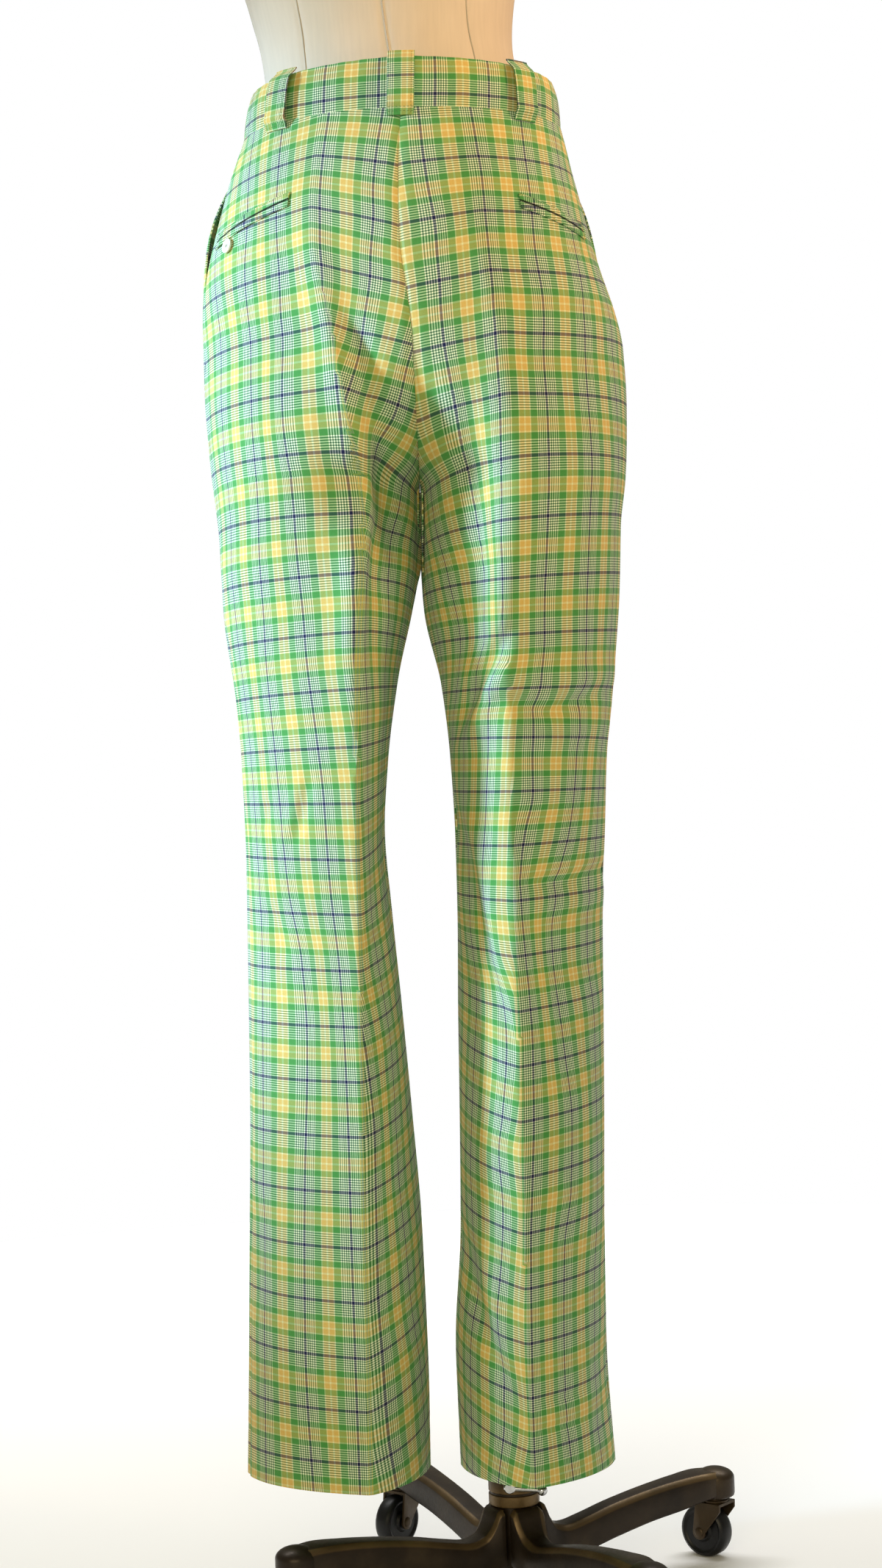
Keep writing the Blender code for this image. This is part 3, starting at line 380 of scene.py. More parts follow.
def crease_place(leg, face, z):
    """How far out from the middle plane a face is pressed to its crease."""
    if face == "back":
        return section_value(leg + "_crease", z)
    return 0.5 * (section_value(leg + "_out", z) + np.maximum(section_value(leg + "_in", z), 0))


def panel_places(leg, face):
    """Angle, height, run from the crease and run to the nearest seam for every point of a panel."""
    outer, inner = (ends[:, None] for ends in fine_rows(leg, face))
    shares = np.linspace(0, 1, PANEL_COLUMNS)[None, :]
    z = outer + (inner - outer) * ease(0.25, 1.0, shares)
    ends = crossing_turn(leg, z, face)
    steps = np.linspace(0, 1, 120)
    turns = SIDE_SEAM_TURN[leg] + (ends[..., None] - SIDE_SEAM_TURN[leg]) * steps
    line = leg_point(leg, np.broadcast_to(z[..., None], turns.shape), turns)
    run = along_run(line)
    middle = from_middle(leg, line)
    crease = crease_place(leg, face, z)
    skip = mouth_reach(z) if face == "front" else 0.0 * z
    goal = skip + (run[..., -1] - skip) * shares
    turn, spread = np.empty_like(z), np.empty_like(z)
    for i in np.ndindex(z.shape):
        turn[i] = np.interp(goal[i], run[i], turns[i])
        spread[i] = goal[i] - np.interp(-crease[i], -middle[i], run[i])
    return turn, z, spread, np.minimum(goal - skip, run[..., -1] - goal)


def spread_at(leg, face, z, turn):
    """Run from the crease to any place of a panel, negative towards the side seam."""
    end = 150.0 if face == "back" else -150.0
    turns = np.linspace(SIDE_SEAM_TURN[leg], end, 160) + 0 * z[..., None]
    line = leg_point(leg, np.broadcast_to(z[..., None], turns.shape), turns)
    run, middle = along_run(line), from_middle(leg, line)
    crease = crease_place(leg, face, z)
    spread = np.empty_like(z)
    sign = 1.0 if face == "back" else -1.0
    for i in np.ndindex(z.shape):
        spread[i] = np.interp(sign * turn[i], sign * turns[i], run[i])
        spread[i] -= np.interp(-crease[i], -middle[i], run[i])
    return spread


# Folds as soft ridges (height above 0) and troughs (below 0) along a line of (from middle, height)
# points, each with how far it reaches to either side. The first rows are the form's own drapes.
FOLDS = (
    ("left", "back", 0.013, 0.0070,
     ((0.067, 1.080), (0.058, 0.995), (0.047, 0.926), (0.045, 0.869), (0.051, 0.740))),
    ("left", "back", 0.012, -0.0120,
     ((0.048, 1.005), (0.035, 0.960), (0.026, 0.915), (0.024, 0.865), (0.033, 0.770))),
    ("left", "back", 0.007, -0.0030, ((0.017, 0.890), (0.015, 0.850), (0.022, 0.800))),
    ("left", "back", 0.006, 0.0020, ((0.024, 0.880), (0.023, 0.840), (0.030, 0.790))),
    ("left", "back", 0.005, -0.0024, ((0.090, 0.664), (0.096, 0.640), (0.103, 0.618))),
    ("left", "back", 0.005, 0.0012, ((0.097, 0.664), (0.103, 0.640), (0.110, 0.620))),
    ("left", "back", 0.004, -0.0016, ((0.1235, 0.650), (0.127, 0.632))),
    ("left", "back", 0.006, -0.0020, ((0.126, 0.566), (0.119, 0.548), (0.115, 0.528))),
    ("left", "back", 0.010, -0.0018, ((0.034, 0.620), (0.040, 0.560), (0.046, 0.500))),
    ("left", "back", 0.009, -0.0014, ((0.142, 0.330), (0.146, 0.250))),
    ("right", "back", 0.014, 0.0035, ((0.066, 1.060), (0.070, 0.960), (0.069, 0.790))),
    ("right", "back", 0.011, -0.0040, ((0.040, 0.960), (0.044, 0.880), (0.046, 0.800))),
    ("right", "back", 0.006, -0.0052,
     ((0.070, 0.774), (0.057, 0.754), (0.043, 0.733), (0.034, 0.716), (0.027, 0.700))),
    ("right", "back", 0.008, 0.0034, ((0.078, 0.756), (0.060, 0.738), (0.048, 0.716), (0.040, 0.694))),
    ("right", "back", 0.009, 0.0026, ((0.060, 0.737), (0.100, 0.730), (0.143, 0.742))),
    ("right", "back", 0.006, -0.0042, ((0.052, 0.721), (0.078, 0.716), (0.100, 0.711), (0.141, 0.726))),
    ("right", "back", 0.010, 0.0022, ((0.062, 0.696), (0.105, 0.690), (0.138, 0.702))),
    ("right", "back", 0.007, -0.0028, ((0.064, 0.655), (0.072, 0.630), (0.073, 0.600))),
    ("right", "back", 0.006, -0.0034, ((0.074, 0.580), (0.110, 0.579), (0.142, 0.588))),
    ("right", "back", 0.009, 0.0020, ((0.080, 0.564), (0.112, 0.562), (0.136, 0.568))),
    ("right", "back", 0.006, -0.0040,
     ((0.022, 0.640), (0.030, 0.606), (0.038, 0.552), (0.048, 0.500), (0.058, 0.462))),
    ("right", "back", 0.008, 0.0024, ((0.034, 0.632), (0.043, 0.596), (0.051, 0.548), (0.060, 0.500))),
    ("right", "back", 0.006, -0.0030,
     ((0.018, 0.300), (0.0234, 0.262), (0.033, 0.225), (0.0425, 0.195), (0.050, 0.180))),
    ("right", "back", 0.007, 0.0022, ((0.030, 0.310), (0.036, 0.268), (0.046, 0.232), (0.055, 0.205))),
    ("right", "back", 0.0032, -0.0013, ((0.074, 0.180), (0.092, 0.179), (0.108, 0.181))),
    ("right", "back", 0.0032, -0.0013, ((0.072, 0.157), (0.090, 0.156), (0.110, 0.158))),
    ("right", "back", 0.009, -0.0020, ((0.122, 0.215), (0.126, 0.175), (0.118, 0.135))),
    ("left", "front", 0.012, -0.0032, ((0.012, 0.940), (0.050, 0.925), (0.096, 0.880))),
    ("left", "front", 0.009, -0.0026, ((0.010, 0.915), (0.045, 0.895), (0.080, 0.850))),
    ("left", "front", 0.012, 0.0030, ((0.056, 0.700), (0.090, 0.682), (0.124, 0.676))),
    ("left", "front", 0.008, -0.0026, ((0.050, 0.676), (0.086, 0.662), (0.120, 0.652))),
    ("left", "front", 0.010, -0.0022, ((0.060, 0.340), (0.050, 0.260), (0.046, 0.190))),
    ("right", "front", 0.012, -0.0030, ((0.014, 0.936), (0.052, 0.918), (0.090, 0.872))),
    ("right", "front", 0.009, -0.0024, ((0.012, 0.908), (0.040, 0.884), (0.078, 0.842))),
    ("right", "front", 0.012, 0.0030, ((0.052, 0.706), (0.090, 0.694), (0.126, 0.688))),
    ("right", "front", 0.008, -0.0030, ((0.048, 0.684), (0.084, 0.672), (0.122, 0.668))),
    ("right", "front", 0.010, -0.0020, ((0.072, 0.360), (0.064, 0.280), (0.060, 0.200))),
)


def fold_relief(leg, face, x, z):
    """Height of the folds at places of one panel."""
    relief = np.zeros_like(x)
    for fold_leg, fold_face, span, height, line in FOLDS:
        if (fold_leg, fold_face) != (leg, face):
            continue
        spots = np.array(line)
        lengths = np.linalg.norm(np.diff(spots, axis=0), axis=1)
        before = np.concatenate([[0], np.cumsum(lengths)])
        nearest, travelled = np.full_like(x, 1e9), np.zeros_like(x)
        for start, end, length, run in zip(spots[:-1], spots[1:], lengths, before):
            unit = (end - start) / length
            along = (x - start[0]) * unit[0] + (z - start[1]) * unit[1]
            held = np.clip(along, 0 if run > 0 else -1e9, length if run + length < before[-1] else 1e9)
            away = np.hypot(x - start[0] - unit[0] * held, z - start[1] - unit[1] * held)
            closer = away < nearest
            nearest = np.where(closer, away, nearest)
            travelled = np.where(closer, run + along, travelled)
        whole = before[-1]
        tail = 0.25 * whole
        keep = ease(-tail, tail, travelled) * ease(whole + tail, whole - tail, travelled)
        relief += height * keep * np.exp(-((nearest / span) ** 2))
    return relief


# Below the crotch the left leg's cloth laps over the right's: how high, how far from the inseam and
# how wide the swell is on one and the hollow on the other.
LEG_LAP = {"left": (0.0022, 0.011, 0.005), "right": (-0.0050, 0.014, 0.008)}
# The pressed crease, the dip along a seam, the swell of the turnings beside it and the hem's stitching.
CREASE_HEIGHT = 0.0022
CREASE_SPAN = 0.008
SEAM_DRAW = 0.0010
TURNING_SWELL = 0.0004
HEM_DEPTH = 0.036


def leg_relief(leg, face, turn, z, spread, seam):
    """All that lifts the cloth off its plain form: folds, the pressed crease and the drawn seams."""
    x = from_middle(leg, leg_point(leg, z, turn))
    relief = fold_relief(leg, face, x, z)
    relief += CREASE_HEIGHT * ease(0.900, 0.640, z) * np.exp(-np.abs(spread) / CREASE_SPAN)
    relief -= SEAM_DRAW * np.exp(-((seam / 0.0020) ** 2))
    if face == "back":
        lapped = ease(0.812, 0.836, z) * ease(0.908, 0.884, z) * (spread > 0)
        height, at, span = LEG_LAP[leg]
        relief += height * lapped * np.exp(-(((seam - at) / span) ** 2))
    relief += TURNING_SWELL * np.exp(-(((seam - 0.0085) / 0.0030) ** 2))
    hem = np.exp(-(((z - HEM_Z - HEM_DEPTH) / 0.0016) ** 2))
    return relief - TURNING_SWELL * hem


def into_scene(name, data):
    made = bpy.data.objects.new(name, data)
    bpy.context.scene.collection.objects.link(made)
    return made


def cloth_wall(name, outer, inner, grain, body="form"):
    """Close two matching grids of points into one thin wall, with the check laid along its grain."""
    rows, columns = outer.shape[:2]
    count = rows * columns
    index = np.arange(count).reshape(rows, columns)
    quads = np.stack([index[:-1, :-1], index[:-1, 1:], index[1:, 1:], index[1:, :-1]], axis=-1)
    quads = quads.reshape(-1, 4)
    rim = np.concatenate([index[0], index[1:, -1], index[-1, -2::-1], index[-2:0:-1, 0]])
    after = np.roll(rim, -1)
    edge = np.stack([rim, after, after + count, rim + count], axis=-1)
    faces = np.concatenate([quads, quads[:, ::-1] + count, edge])
    points = np.concatenate([outer.reshape(-1, 3), inner.reshape(-1, 3)])
    mesh = bpy.data.meshes.new(name)
    mesh.from_pydata(points.tolist(), [], faces.tolist())
    both = np.concatenate([grain.reshape(-1, 2)] * 2)
    corners = np.zeros(len(mesh.loops), int)
    mesh.loops.foreach_get("vertex_index", corners)
    layer = mesh.uv_layers.new(name="grain")
    layer.data.foreach_set("uv", both[corners].astype(np.float32).ravel())
    solid = bmesh.new()
    solid.from_mesh(mesh)
    bmesh.ops.recalc_face_normals(solid, faces=solid.faces)
    solid.to_mesh(mesh)
    solid.free()
    mesh.materials.append(cotton)
    mesh.shade_smooth()
    mesh.set_sharp_from_angle(angle=math.radians(50))
    made = into_scene(name, mesh)
    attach(made, body)
    return made


# How the check really lies at the back, read off the navy lines of the photographed cloth. Each line
# has its number and, at a few heights, its place in repeats from the crease (outwards is negative).
NAVY_WARPS = {
    ("left", "outer"): (
        (-3, ((1.18, -2.95), (1.05, -2.85), (0.95, -3.15), (0.84, -3.40), (0.80, -3.25), (0.62, -2.62),
             (0.53, -2.47), (0.40, -2.55), (0.11, -2.64))),
        (-2, ((1.18, -1.95), (1.10, -1.65), (1.02, -1.92), (0.93, -2.13), (0.85, -2.32), (0.78, -2.21),
             (0.64, -1.81), (0.58, -1.63), (0.526, -1.32), (0.47, -1.21), (0.345, -1.34), (0.215, -1.40),
             (0.11, -1.28))),
        (-1, ((1.18, -0.99), (1.12, -0.86), (1.07, -0.85), (1.016, -1.11), (0.88, -1.41), (0.82, -1.30),
             (0.70, -0.88), (0.65, -0.72), (0.58, -0.61), (0.514, -0.43), (0.46, -0.35), (0.29, -0.26),
             (0.11, -0.21))),
        (0, ((1.18, 0.13), (1.10, 0.17), (1.06, 0.13), (1.01, 0.03), (0.94, -0.11), (0.90, -0.25),
             (0.86, -0.23), (0.82, -0.13), (0.76, -0.04), (0.70, 0.16), (0.58, 0.42), (0.46, 0.68),
             (0.11, 0.82))),
    ),
    ("left", "inner"): (
        (0, ((1.18, 0.13), (1.10, 0.17), (1.06, 0.13), (1.01, -0.25), (0.965, -0.80), (0.90, -1.50),
             (0.11, -1.6))),
        (1, ((1.18, 1.29), (1.10, 1.29), (1.055, 1.10), (1.01, 0.64), (0.965, 0.22), (0.94, -0.10),
             (0.914, -0.40), (0.845, -0.85), (0.76, -0.80), (0.616, -0.50), (0.526, -0.30), (0.453, 0.10),
             (0.38, 0.30), (0.27, 0.30), (0.215, 0.38), (0.158, 0.48), (0.11, 0.73))),
        (2, ((1.18, 2.40), (1.055, 2.25), (0.975, 1.40), (0.94, 1.06), (0.914, 0.76), (0.875, 0.53),
             (0.845, 0.26), (0.812, 0.16), (0.70, 0.30), (0.616, 0.44), (0.562, 0.46), (0.526, 0.63),
             (0.488, 0.82), (0.45, 1.00), (0.354, 1.05), (0.295, 1.25), (0.248, 1.42), (0.198, 1.80),
             (0.11, 2.20))),
    ),
    ("right", "outer"): (
        (-3, ((1.18, -3.35), (1.04, -3.27), (0.99, -3.10), (0.88, -3.20), (0.77, -3.00), (0.62, -2.35),
             (0.59, -2.21), (0.57, -1.93), (0.52, -1.88), (0.47, -2.11), (0.33, -2.20), (0.25, -1.95),
             (0.11, -2.00))),
        (-2, ((1.18, -2.25), (1.07, -2.40), (1.01, -2.12), (0.94, -1.97), (0.77, -1.97), (0.693, -1.67),
             (0.66, -1.59), (0.62, -1.38), (0.573, -0.95), (0.534, -0.82), (0.447, -1.08), (0.395, -1.26),
             (0.338, -1.19), (0.293, -0.96), (0.18, -0.87), (0.11, -0.99))),
        (-1, ((1.18, -1.13), (1.10, -1.21), (1.04, -1.13), (0.97, -0.92), (0.87, -0.84), (0.77, -0.83),
             (0.69, -0.48), (0.65, -0.47), (0.62, -0.29), (0.58, -0.13), (0.45, -0.30), (0.40, -0.28),
             (0.297, -0.13), (0.11, -0.03))),
        (0, ((1.18, 0.06), (1.12, -0.09), (1.08, -0.10), (1.01, 0.09), (0.86, 0.13), (0.78, 0.08),
             (0.756, 0.14), (0.70, 0.50), (0.62, 0.72), (0.11, 0.95))),
    ),
    ("right", "inner"): (
        (0, ((1.18, 0.06), (1.12, -0.09), (1.08, -0.10), (1.01, 0.09), (0.86, 0.13), (0.78, 0.08),
             (0.756, 0.14), (0.742, 0.29), (0.722, 0.44), (0.695, 0.51), (0.644, 0.65), (0.61, 0.73),
             (0.567, 0.78), (0.529, 0.71), (0.502, 0.50), (0.481, 0.36), (0.449, 0.29), (0.40, 0.43),
             (0.37, 0.56), (0.33, 0.49), (0.24, 0.67), (0.17, 0.62), (0.11, 0.90))),
        (1, ((1.18, 1.17), (1.12, 1.08), (1.08, 0.97), (1.01, 1.16), (0.94, 1.02), (0.90, 0.98),
             (0.86, 0.77), (0.813, 0.52), (0.772, 0.49), (0.74, 0.90), (0.695, 1.40), (0.61, 1.60),
             (0.553, 1.45), (0.495, 1.15), (0.448, 1.30), (0.396, 1.50), (0.349, 1.62), (0.27, 1.45),
             (0.21, 1.66), (0.11, 1.85))),
        (2, ((1.18, 2.30), (1.00, 2.40), (0.93, 2.60), (0.877, 2.30), (0.82, 1.55), (0.774, 1.21),
             (0.732, 1.60), (0.695, 2.30), (0.61, 2.60), (0.50, 2.20), (0.40, 2.60), (0.11, 2.90))),
    ),
}
# Heights of the navy weft lines at the crease, from the waist down, and how much higher the weft
# runs at the side seam and at the inner seam than at the crease.
NAVY_WEFTS = {
    "left": (
        1.1458, 1.1037, 1.0581, 1.0102, 0.9615, 0.9142, 0.8674, 0.8220, 0.7775, 0.7340, 0.6896,
        0.6460, 0.6023, 0.5600, 0.5163, 0.4731, 0.4305, 0.3880, 0.3448, 0.3020, 0.2599, 0.2175,
        0.1764, 0.1364,
    ),
    "right": (
        1.1401, 1.0962, 1.0484, 0.9991, 0.9520, 0.9045, 0.8578, 0.8134, 0.7705, 0.7300, 0.6926,
        0.6508, 0.6089, 0.5662, 0.5231, 0.4804, 0.4377, 0.3951, 0.3519, 0.3089, 0.2664, 0.2241,
        0.1823, 0.1412,
    ),
}
RISE_COLUMNS = ("z", "left_outer", "left_inner", "right_outer", "right_inner")
WEFT_RISE = (
    (1.180, -0.014, -0.008, 0.000, -0.003),
    (1.050, -0.011, -0.023, 0.004, -0.014),
    (0.950, -0.004, -0.022, 0.003, -0.014),
    (0.860, -0.001, -0.014, 0.008, -0.006),
    (0.770, -0.003, 0.000, 0.005, 0.000),
    (0.690, 0.000, 0.009, -0.002, 0.002),
    (0.610, 0.005, 0.016, 0.004, 0.002),
    (0.530, 0.005, 0.018, 0.009, 0.010),
    (0.450, 0.004, 0.018, 0.012, 0.018),
    (0.350, 0.004, 0.020, 0.011, 0.016),
    (0.250, 0.005, 0.021, 0.008, 0.018),
    (0.113, 0.000, 0.013, 0.007, 0.019),
)
SIDE_RUN = 0.115
INNER_RUN = 0.075


def warp_place(leg, side, z, spread):
    """Which warp stripe lies at a place: the navy lines are the whole numbers."""
    numbers = [number for number, _ in NAVY_WARPS[leg, side]]
    places = np.stack([read_rows(line, z) for _, line in NAVY_WARPS[leg, side]])
    at = spread / WARP_REPEAT
    found = np.where(at < places[0], numbers[0] + at - places[0], numbers[-1] + at - places[-1])
    for number, low, high in zip(numbers, places[:-1], places[1:]):
        inside = (at >= low) & (at < high)
        found = np.where(inside, number + (at - low) / np.maximum(high - low, 0.2), found)
    return found


def leg_grain(leg, face, z, spread):
    """Where each point lies in the check, in repeats of the warp and of the weft."""
    outer = read_rows(WEFT_RISE, z, RISE_COLUMNS.index(leg + "_outer"))
    inner = read_rows(WEFT_RISE, z, RISE_COLUMNS.index(leg + "_inner"))
    if face == "back":
        warps = [warp_place(leg, side, z, spread) for side in ("outer", "inner")]
        across = np.where(spread < 0, *warps)
        inward = inner * np.minimum(spread / INNER_RUN, 1.4)
        rise = np.where(spread < 0, outer * (-spread / SIDE_RUN), inward)
    else:
        across = spread / WARP_REPEAT + (0.35 if leg == "left" else 0.10)
        rise = outer * np.clip(0.5 - spread / SIDE_RUN, 0, 1)
    heights = NAVY_WEFTS[leg][::-1]
    level = z - rise
    along = np.interp(level, heights, range(len(heights)))
    along += np.minimum(level - heights[0], 0) / WEFT_REPEAT
    along += np.maximum(level - heights[-1], 0) / WEFT_REPEAT
    return np.stack([across, along], axis=-1)


# How deep and how wide the hollow along the seat seam is.
CLEFT_DEPTH = {"back": 0.016, "front": 0.005}
CLEFT_SPAN = {"left": 0.032, "right": 0.019}


def leg_cloth(leg, face, z, turn, lift):
    """The skin of a piece that lies on a leg, drawn in at the seat seam, and its outward direction."""
    normals = leg_outward(leg, z, turn)
    skin = leg_point(leg, z, turn)
    x = from_middle(leg, skin)
    direction = normals.copy()
    direction[..., 0] *= np.where(z > CROTCH_Z, ease(0.0, 0.014, x), 1.0)
    skin += direction * lift[..., None]
    cleft = CLEFT_DEPTH[face] * ease(0.985, 0.900, z) * ease(0.800, 0.880, z)
    cleft *= np.exp(-((x / CLEFT_SPAN[leg]) ** 2))
    skin[..., 1] += cleft if face == "back" else -cleft
    return skin, normals


for leg in LEGS:
    for face in ("back", "front"):
        turn, z, spread, seam = panel_places(leg, face)
        lift = leg_relief(leg, face, turn, z, spread, seam)
        if face == "front":
            lift += mouth_gape(z, np.linspace(0, 12, PANEL_COLUMNS))
        skin, normals = leg_cloth(leg, face, z, turn, lift)
        grain = leg_grain(leg, face, z, spread)
        panel = cloth_wall(f"trouser_{face}_{leg}", skin, skin - normals * CLOTH_THICKNESS, grain)
        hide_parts(f"{face}_panel_{leg}")

# The front pocket facings are pieces of the same cloth under the slanted mouths, sewn in at the waist
# and side seams. Only a strip of each shows where the mouth gapes.
FACING_FOOT_Z = 1.078
FACING_TUCK = 0.016


def front_turns(leg, heights, reaches):
    """Angles on the front of a leg at given runs from its side seam, for each height in turn."""
    sweep = np.linspace(SIDE_SEAM_TURN[leg], -80.0, 90)
    level = np.repeat(heights[:, None], 90, axis=1)
    run = along_run(leg_point(leg, level, np.broadcast_to(sweep, level.shape)))
    return np.stack([np.interp(reach, row, sweep) for reach, row in zip(reaches, run)])


for leg in LEGS:
    heights = np.linspace(WAIST_SEAM_Z - 0.0005, FACING_FOOT_Z, 34)
    reaches = [np.linspace(0.001, end, 16) for end in mouth_reach(heights) + FACING_TUCK]
    turn = front_turns(leg, heights, reaches)
    z = np.repeat(heights[:, None], 16, axis=1)
    skin, normals = leg_cloth(leg, "front", z, turn, np.full_like(z, -0.0021))
    grain = leg_grain(leg, "front", z, spread_at(leg, "front", z, turn) + 0.011)
    facing = cloth_wall(f"pocket_facing_{leg}", skin, skin - normals * CLOTH_THICKNESS, grain)
    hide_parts(f"front_pocket_facing_{leg}")

# The waistband is a folded strip of the same cloth, stiffened inside, in two halves joined at the
# centre back. It is cut curved, so the warp stripes splay towards the hips.
RING_COLUMNS = ("z", "half_width", "back", "front")
BAND_SECTIONS = (
    (1.1600, 0.1340, -0.1030, 0.0978),
    (1.1803, 0.1280, -0.0985, 0.0930),
    (1.2030, 0.1250, -0.0965, 0.0905),
    (1.2260, 0.1190, -0.0925, 0.0865),
    (1.2400, 0.1160, -0.0905, 0.0845),
)
BAND_THICKNESS = 0.0020
BAND_TOP_BACK_Z = 1.2210
BAND_TOP_SIDE_Z = 1.2165
BAND_REPEAT = 0.0437
BAND_NAVY_RUN = 0.0172
BAND_NAVY_Z = 1.1900


def ring_point(sections, z, turn):
    """A point of a body section: turn is 0 at +X, 90 at the back (-Y)."""
    half, back, front = (read_rows(sections, z, RING_COLUMNS.index(name)) for name in RING_COLUMNS[1:])
    angle = np.radians(turn)
    cosine, sine = np.cos(angle), np.sin(angle)
    centre_y = (back + front) / 2
    x = half * rounded(cosine, 2 / 2.1)
    y = centre_y + (np.where(sine >= 0, back, front) - centre_y) * np.abs(sine)
    return np.stack([BODY_X + read_rows(SWAY, z) + x, y, np.asarray(z, float) + 0 * x], axis=-1)


def ring_outward(sections, z, turn):
    along = ring_point(sections, z, turn + 1.5) - ring_point(sections, z, turn - 1.5)
    up = ring_point(sections, z + 0.002, turn) - ring_point(sections, z - 0.002, turn)
    normal = np.cross(up, along)
    return normal / np.linalg.norm(normal, axis=-1, keepdims=True)


def band_top(turn):
    return BAND_TOP_BACK_Z + (BAND_TOP_SIDE_Z - BAND_TOP_BACK_Z) * np.abs(np.cos(np.radians(turn)))


def band_run(turn):
    """Run along the waistband from the centre back, positive towards the wearer's right."""
    sweep = np.linspace(-92.0, 272.0, 730)
    run = along_run(ring_point(BAND_SECTIONS, np.full_like(sweep, 1.200), sweep))
    return np.interp(90.0, sweep, run) - np.interp(turn, sweep, run)


def band_grain(turn, z):
    """Navy lines of the warp stand either side of the centre back and splay downwards."""
    run = band_run(turn)
    splay = 1.0 + 0.9 * (z - 1.200)
    across = (run / splay + BAND_NAVY_RUN) / BAND_REPEAT
    return np.stack([across, (z - BAND_NAVY_Z) / WEFT_REPEAT], axis=-1)


for leg in LEGS:
    clear = math.degrees(SEAM_GAP / 2 / 0.119)
    start, end = (90.0 - clear, -90.0 + clear) if leg == "right" else (90.0 + clear, 270.0 - clear)
    sweep = np.linspace(start, end, 150)
    foot = WAIST_SEAM_Z + SEAM_GAP
    share = np.linspace(0, 1, 22)[:, None]
    z = foot + (band_top(sweep)[None, :] - foot) * share
    turn = np.repeat(sweep[None, :], 22, axis=0)
    edges = np.exp(-((share / 0.05) ** 2)) + np.exp(-(((1 - share) / 0.05) ** 2))
    seam = np.exp(-(((share - 0.10) / 0.035) ** 2)) + np.exp(-(((share - 0.93) / 0.03) ** 2))
    ripple = 0.00035 * np.sin(np.radians(turn * 17)) * np.sin(np.pi * share)
    pucker = 0.0002 * np.sin(np.radians(turn * 43))
    lift = ripple + pucker - 0.0005 * edges - 0.0003 * seam
    normals = ring_outward(BAND_SECTIONS, z, turn)
    skin = ring_point(BAND_SECTIONS, z, turn) + normals * lift[..., None]
    band = cloth_wall(f"waist_strip_{leg}", skin, skin - normals * BAND_THICKNESS, band_grain(turn, z))
    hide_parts(f"waistband_{leg}")

# Seven belt loops are folded straps of the cloth, caught above the waistband and turned under below
# it, where two rows of stitches hold each one. Their check runs as it happened to be cut.
LOOP_SHARES = (0.0, 0.143, 0.315, 0.425, 0.575, 0.685, 0.857)
LOOP_WIDTH = 0.021
LOOP_THICKNESS = 0.0014
LOOP_STAND_OFF = 0.0058
LOOP_ABOVE_BAND = 0.0035
LOOP_FOOT_Z = 1.1730
LOOP_LENGTH = 0.052
LOOP_WEFT_REPEAT = 0.0400
LOOP_CHECK = (
    (0.64, 0.57), (0.30, 0.55), (0.62, 0.20), (0.10, 0.80), (0.45, 0.35), (0.80, 0.65), (0.52, 0.02),
)
sewing_lines = []


def loop_turns():
    turns = np.linspace(90.0, 450.0, 721)
    run = along_run(ring_point(BAND_SECTIONS, np.full_like(turns, 1.201), turns))
    return np.interp(np.array(LOOP_SHARES) * run[-1], run, turns)


def loop_skin(turn, across, drop):
    """A belt loop's inner and outer skin: across goes from -1 to 1, drop from 0 at its top to 1."""
    top = float(band_top(turn)) + LOOP_ABOVE_BAND
    z = top + (LOOP_FOOT_Z - top) * drop
    turns = np.full_like(z, turn)
    centre = ring_point(BAND_SECTIONS, z, turns)
    normal = ring_outward(BAND_SECTIONS, np.full_like(z, 1.201), turns)
    sideways = np.cross(normal, np.array([0.0, 0.0, 1.0]))
    bow = ease(0.0, 0.22, drop) * ease(1.0, 0.80, drop)
    lift = 2 * SEAM_GAP + LOOP_STAND_OFF * bow + 0.0004 * (1 - across ** 2)
    inner = centre + sideways * (across * LOOP_WIDTH / 2)[..., None] + normal * lift[..., None]
    turned = 0.0009 * ease(0.80, 0.86, drop) * ease(1.01, 0.97, drop)
    hem = 0.0003 * np.exp(-(((np.abs(across) - 0.80) / 0.06) ** 2))
    crown = 0.0005 * np.maximum(np.abs(across) - 0.9, 0) / 0.1
    return inner, inner + normal * (LOOP_THICKNESS + turned - hem - crown)[..., None], normal


for number, (turn, check) in enumerate(zip(loop_turns(), LOOP_CHECK)):
    across, drop = np.meshgrid(np.linspace(-1, 1, 25), np.linspace(0, 1, 64))
    inner, outer, normal = loop_skin(turn, across, drop)
    warp = across * LOOP_WIDTH / 2 / WARP_REPEAT + check[0]
    weft = -drop * LOOP_LENGTH / LOOP_WEFT_REPEAT + check[1]
    grain = np.stack([warp, weft], axis=-1)
    strap = cloth_wall(f"loop_strap_{number + 1}", outer, inner, grain)
    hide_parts(f"belt_loop_{number + 1}")
    for edge in (-0.78, 0.78):
        line = np.linspace(0.03, 0.97, 30)
        sewing_lines.append(loop_skin(turn, np.full_like(line, edge), line)[1])
    for row in (0.90, 0.955):
        line = np.linspace(-0.86, 0.86, 12)
        sewing_lines.append(loop_skin(turn, line, np.full_like(line, row))[1])

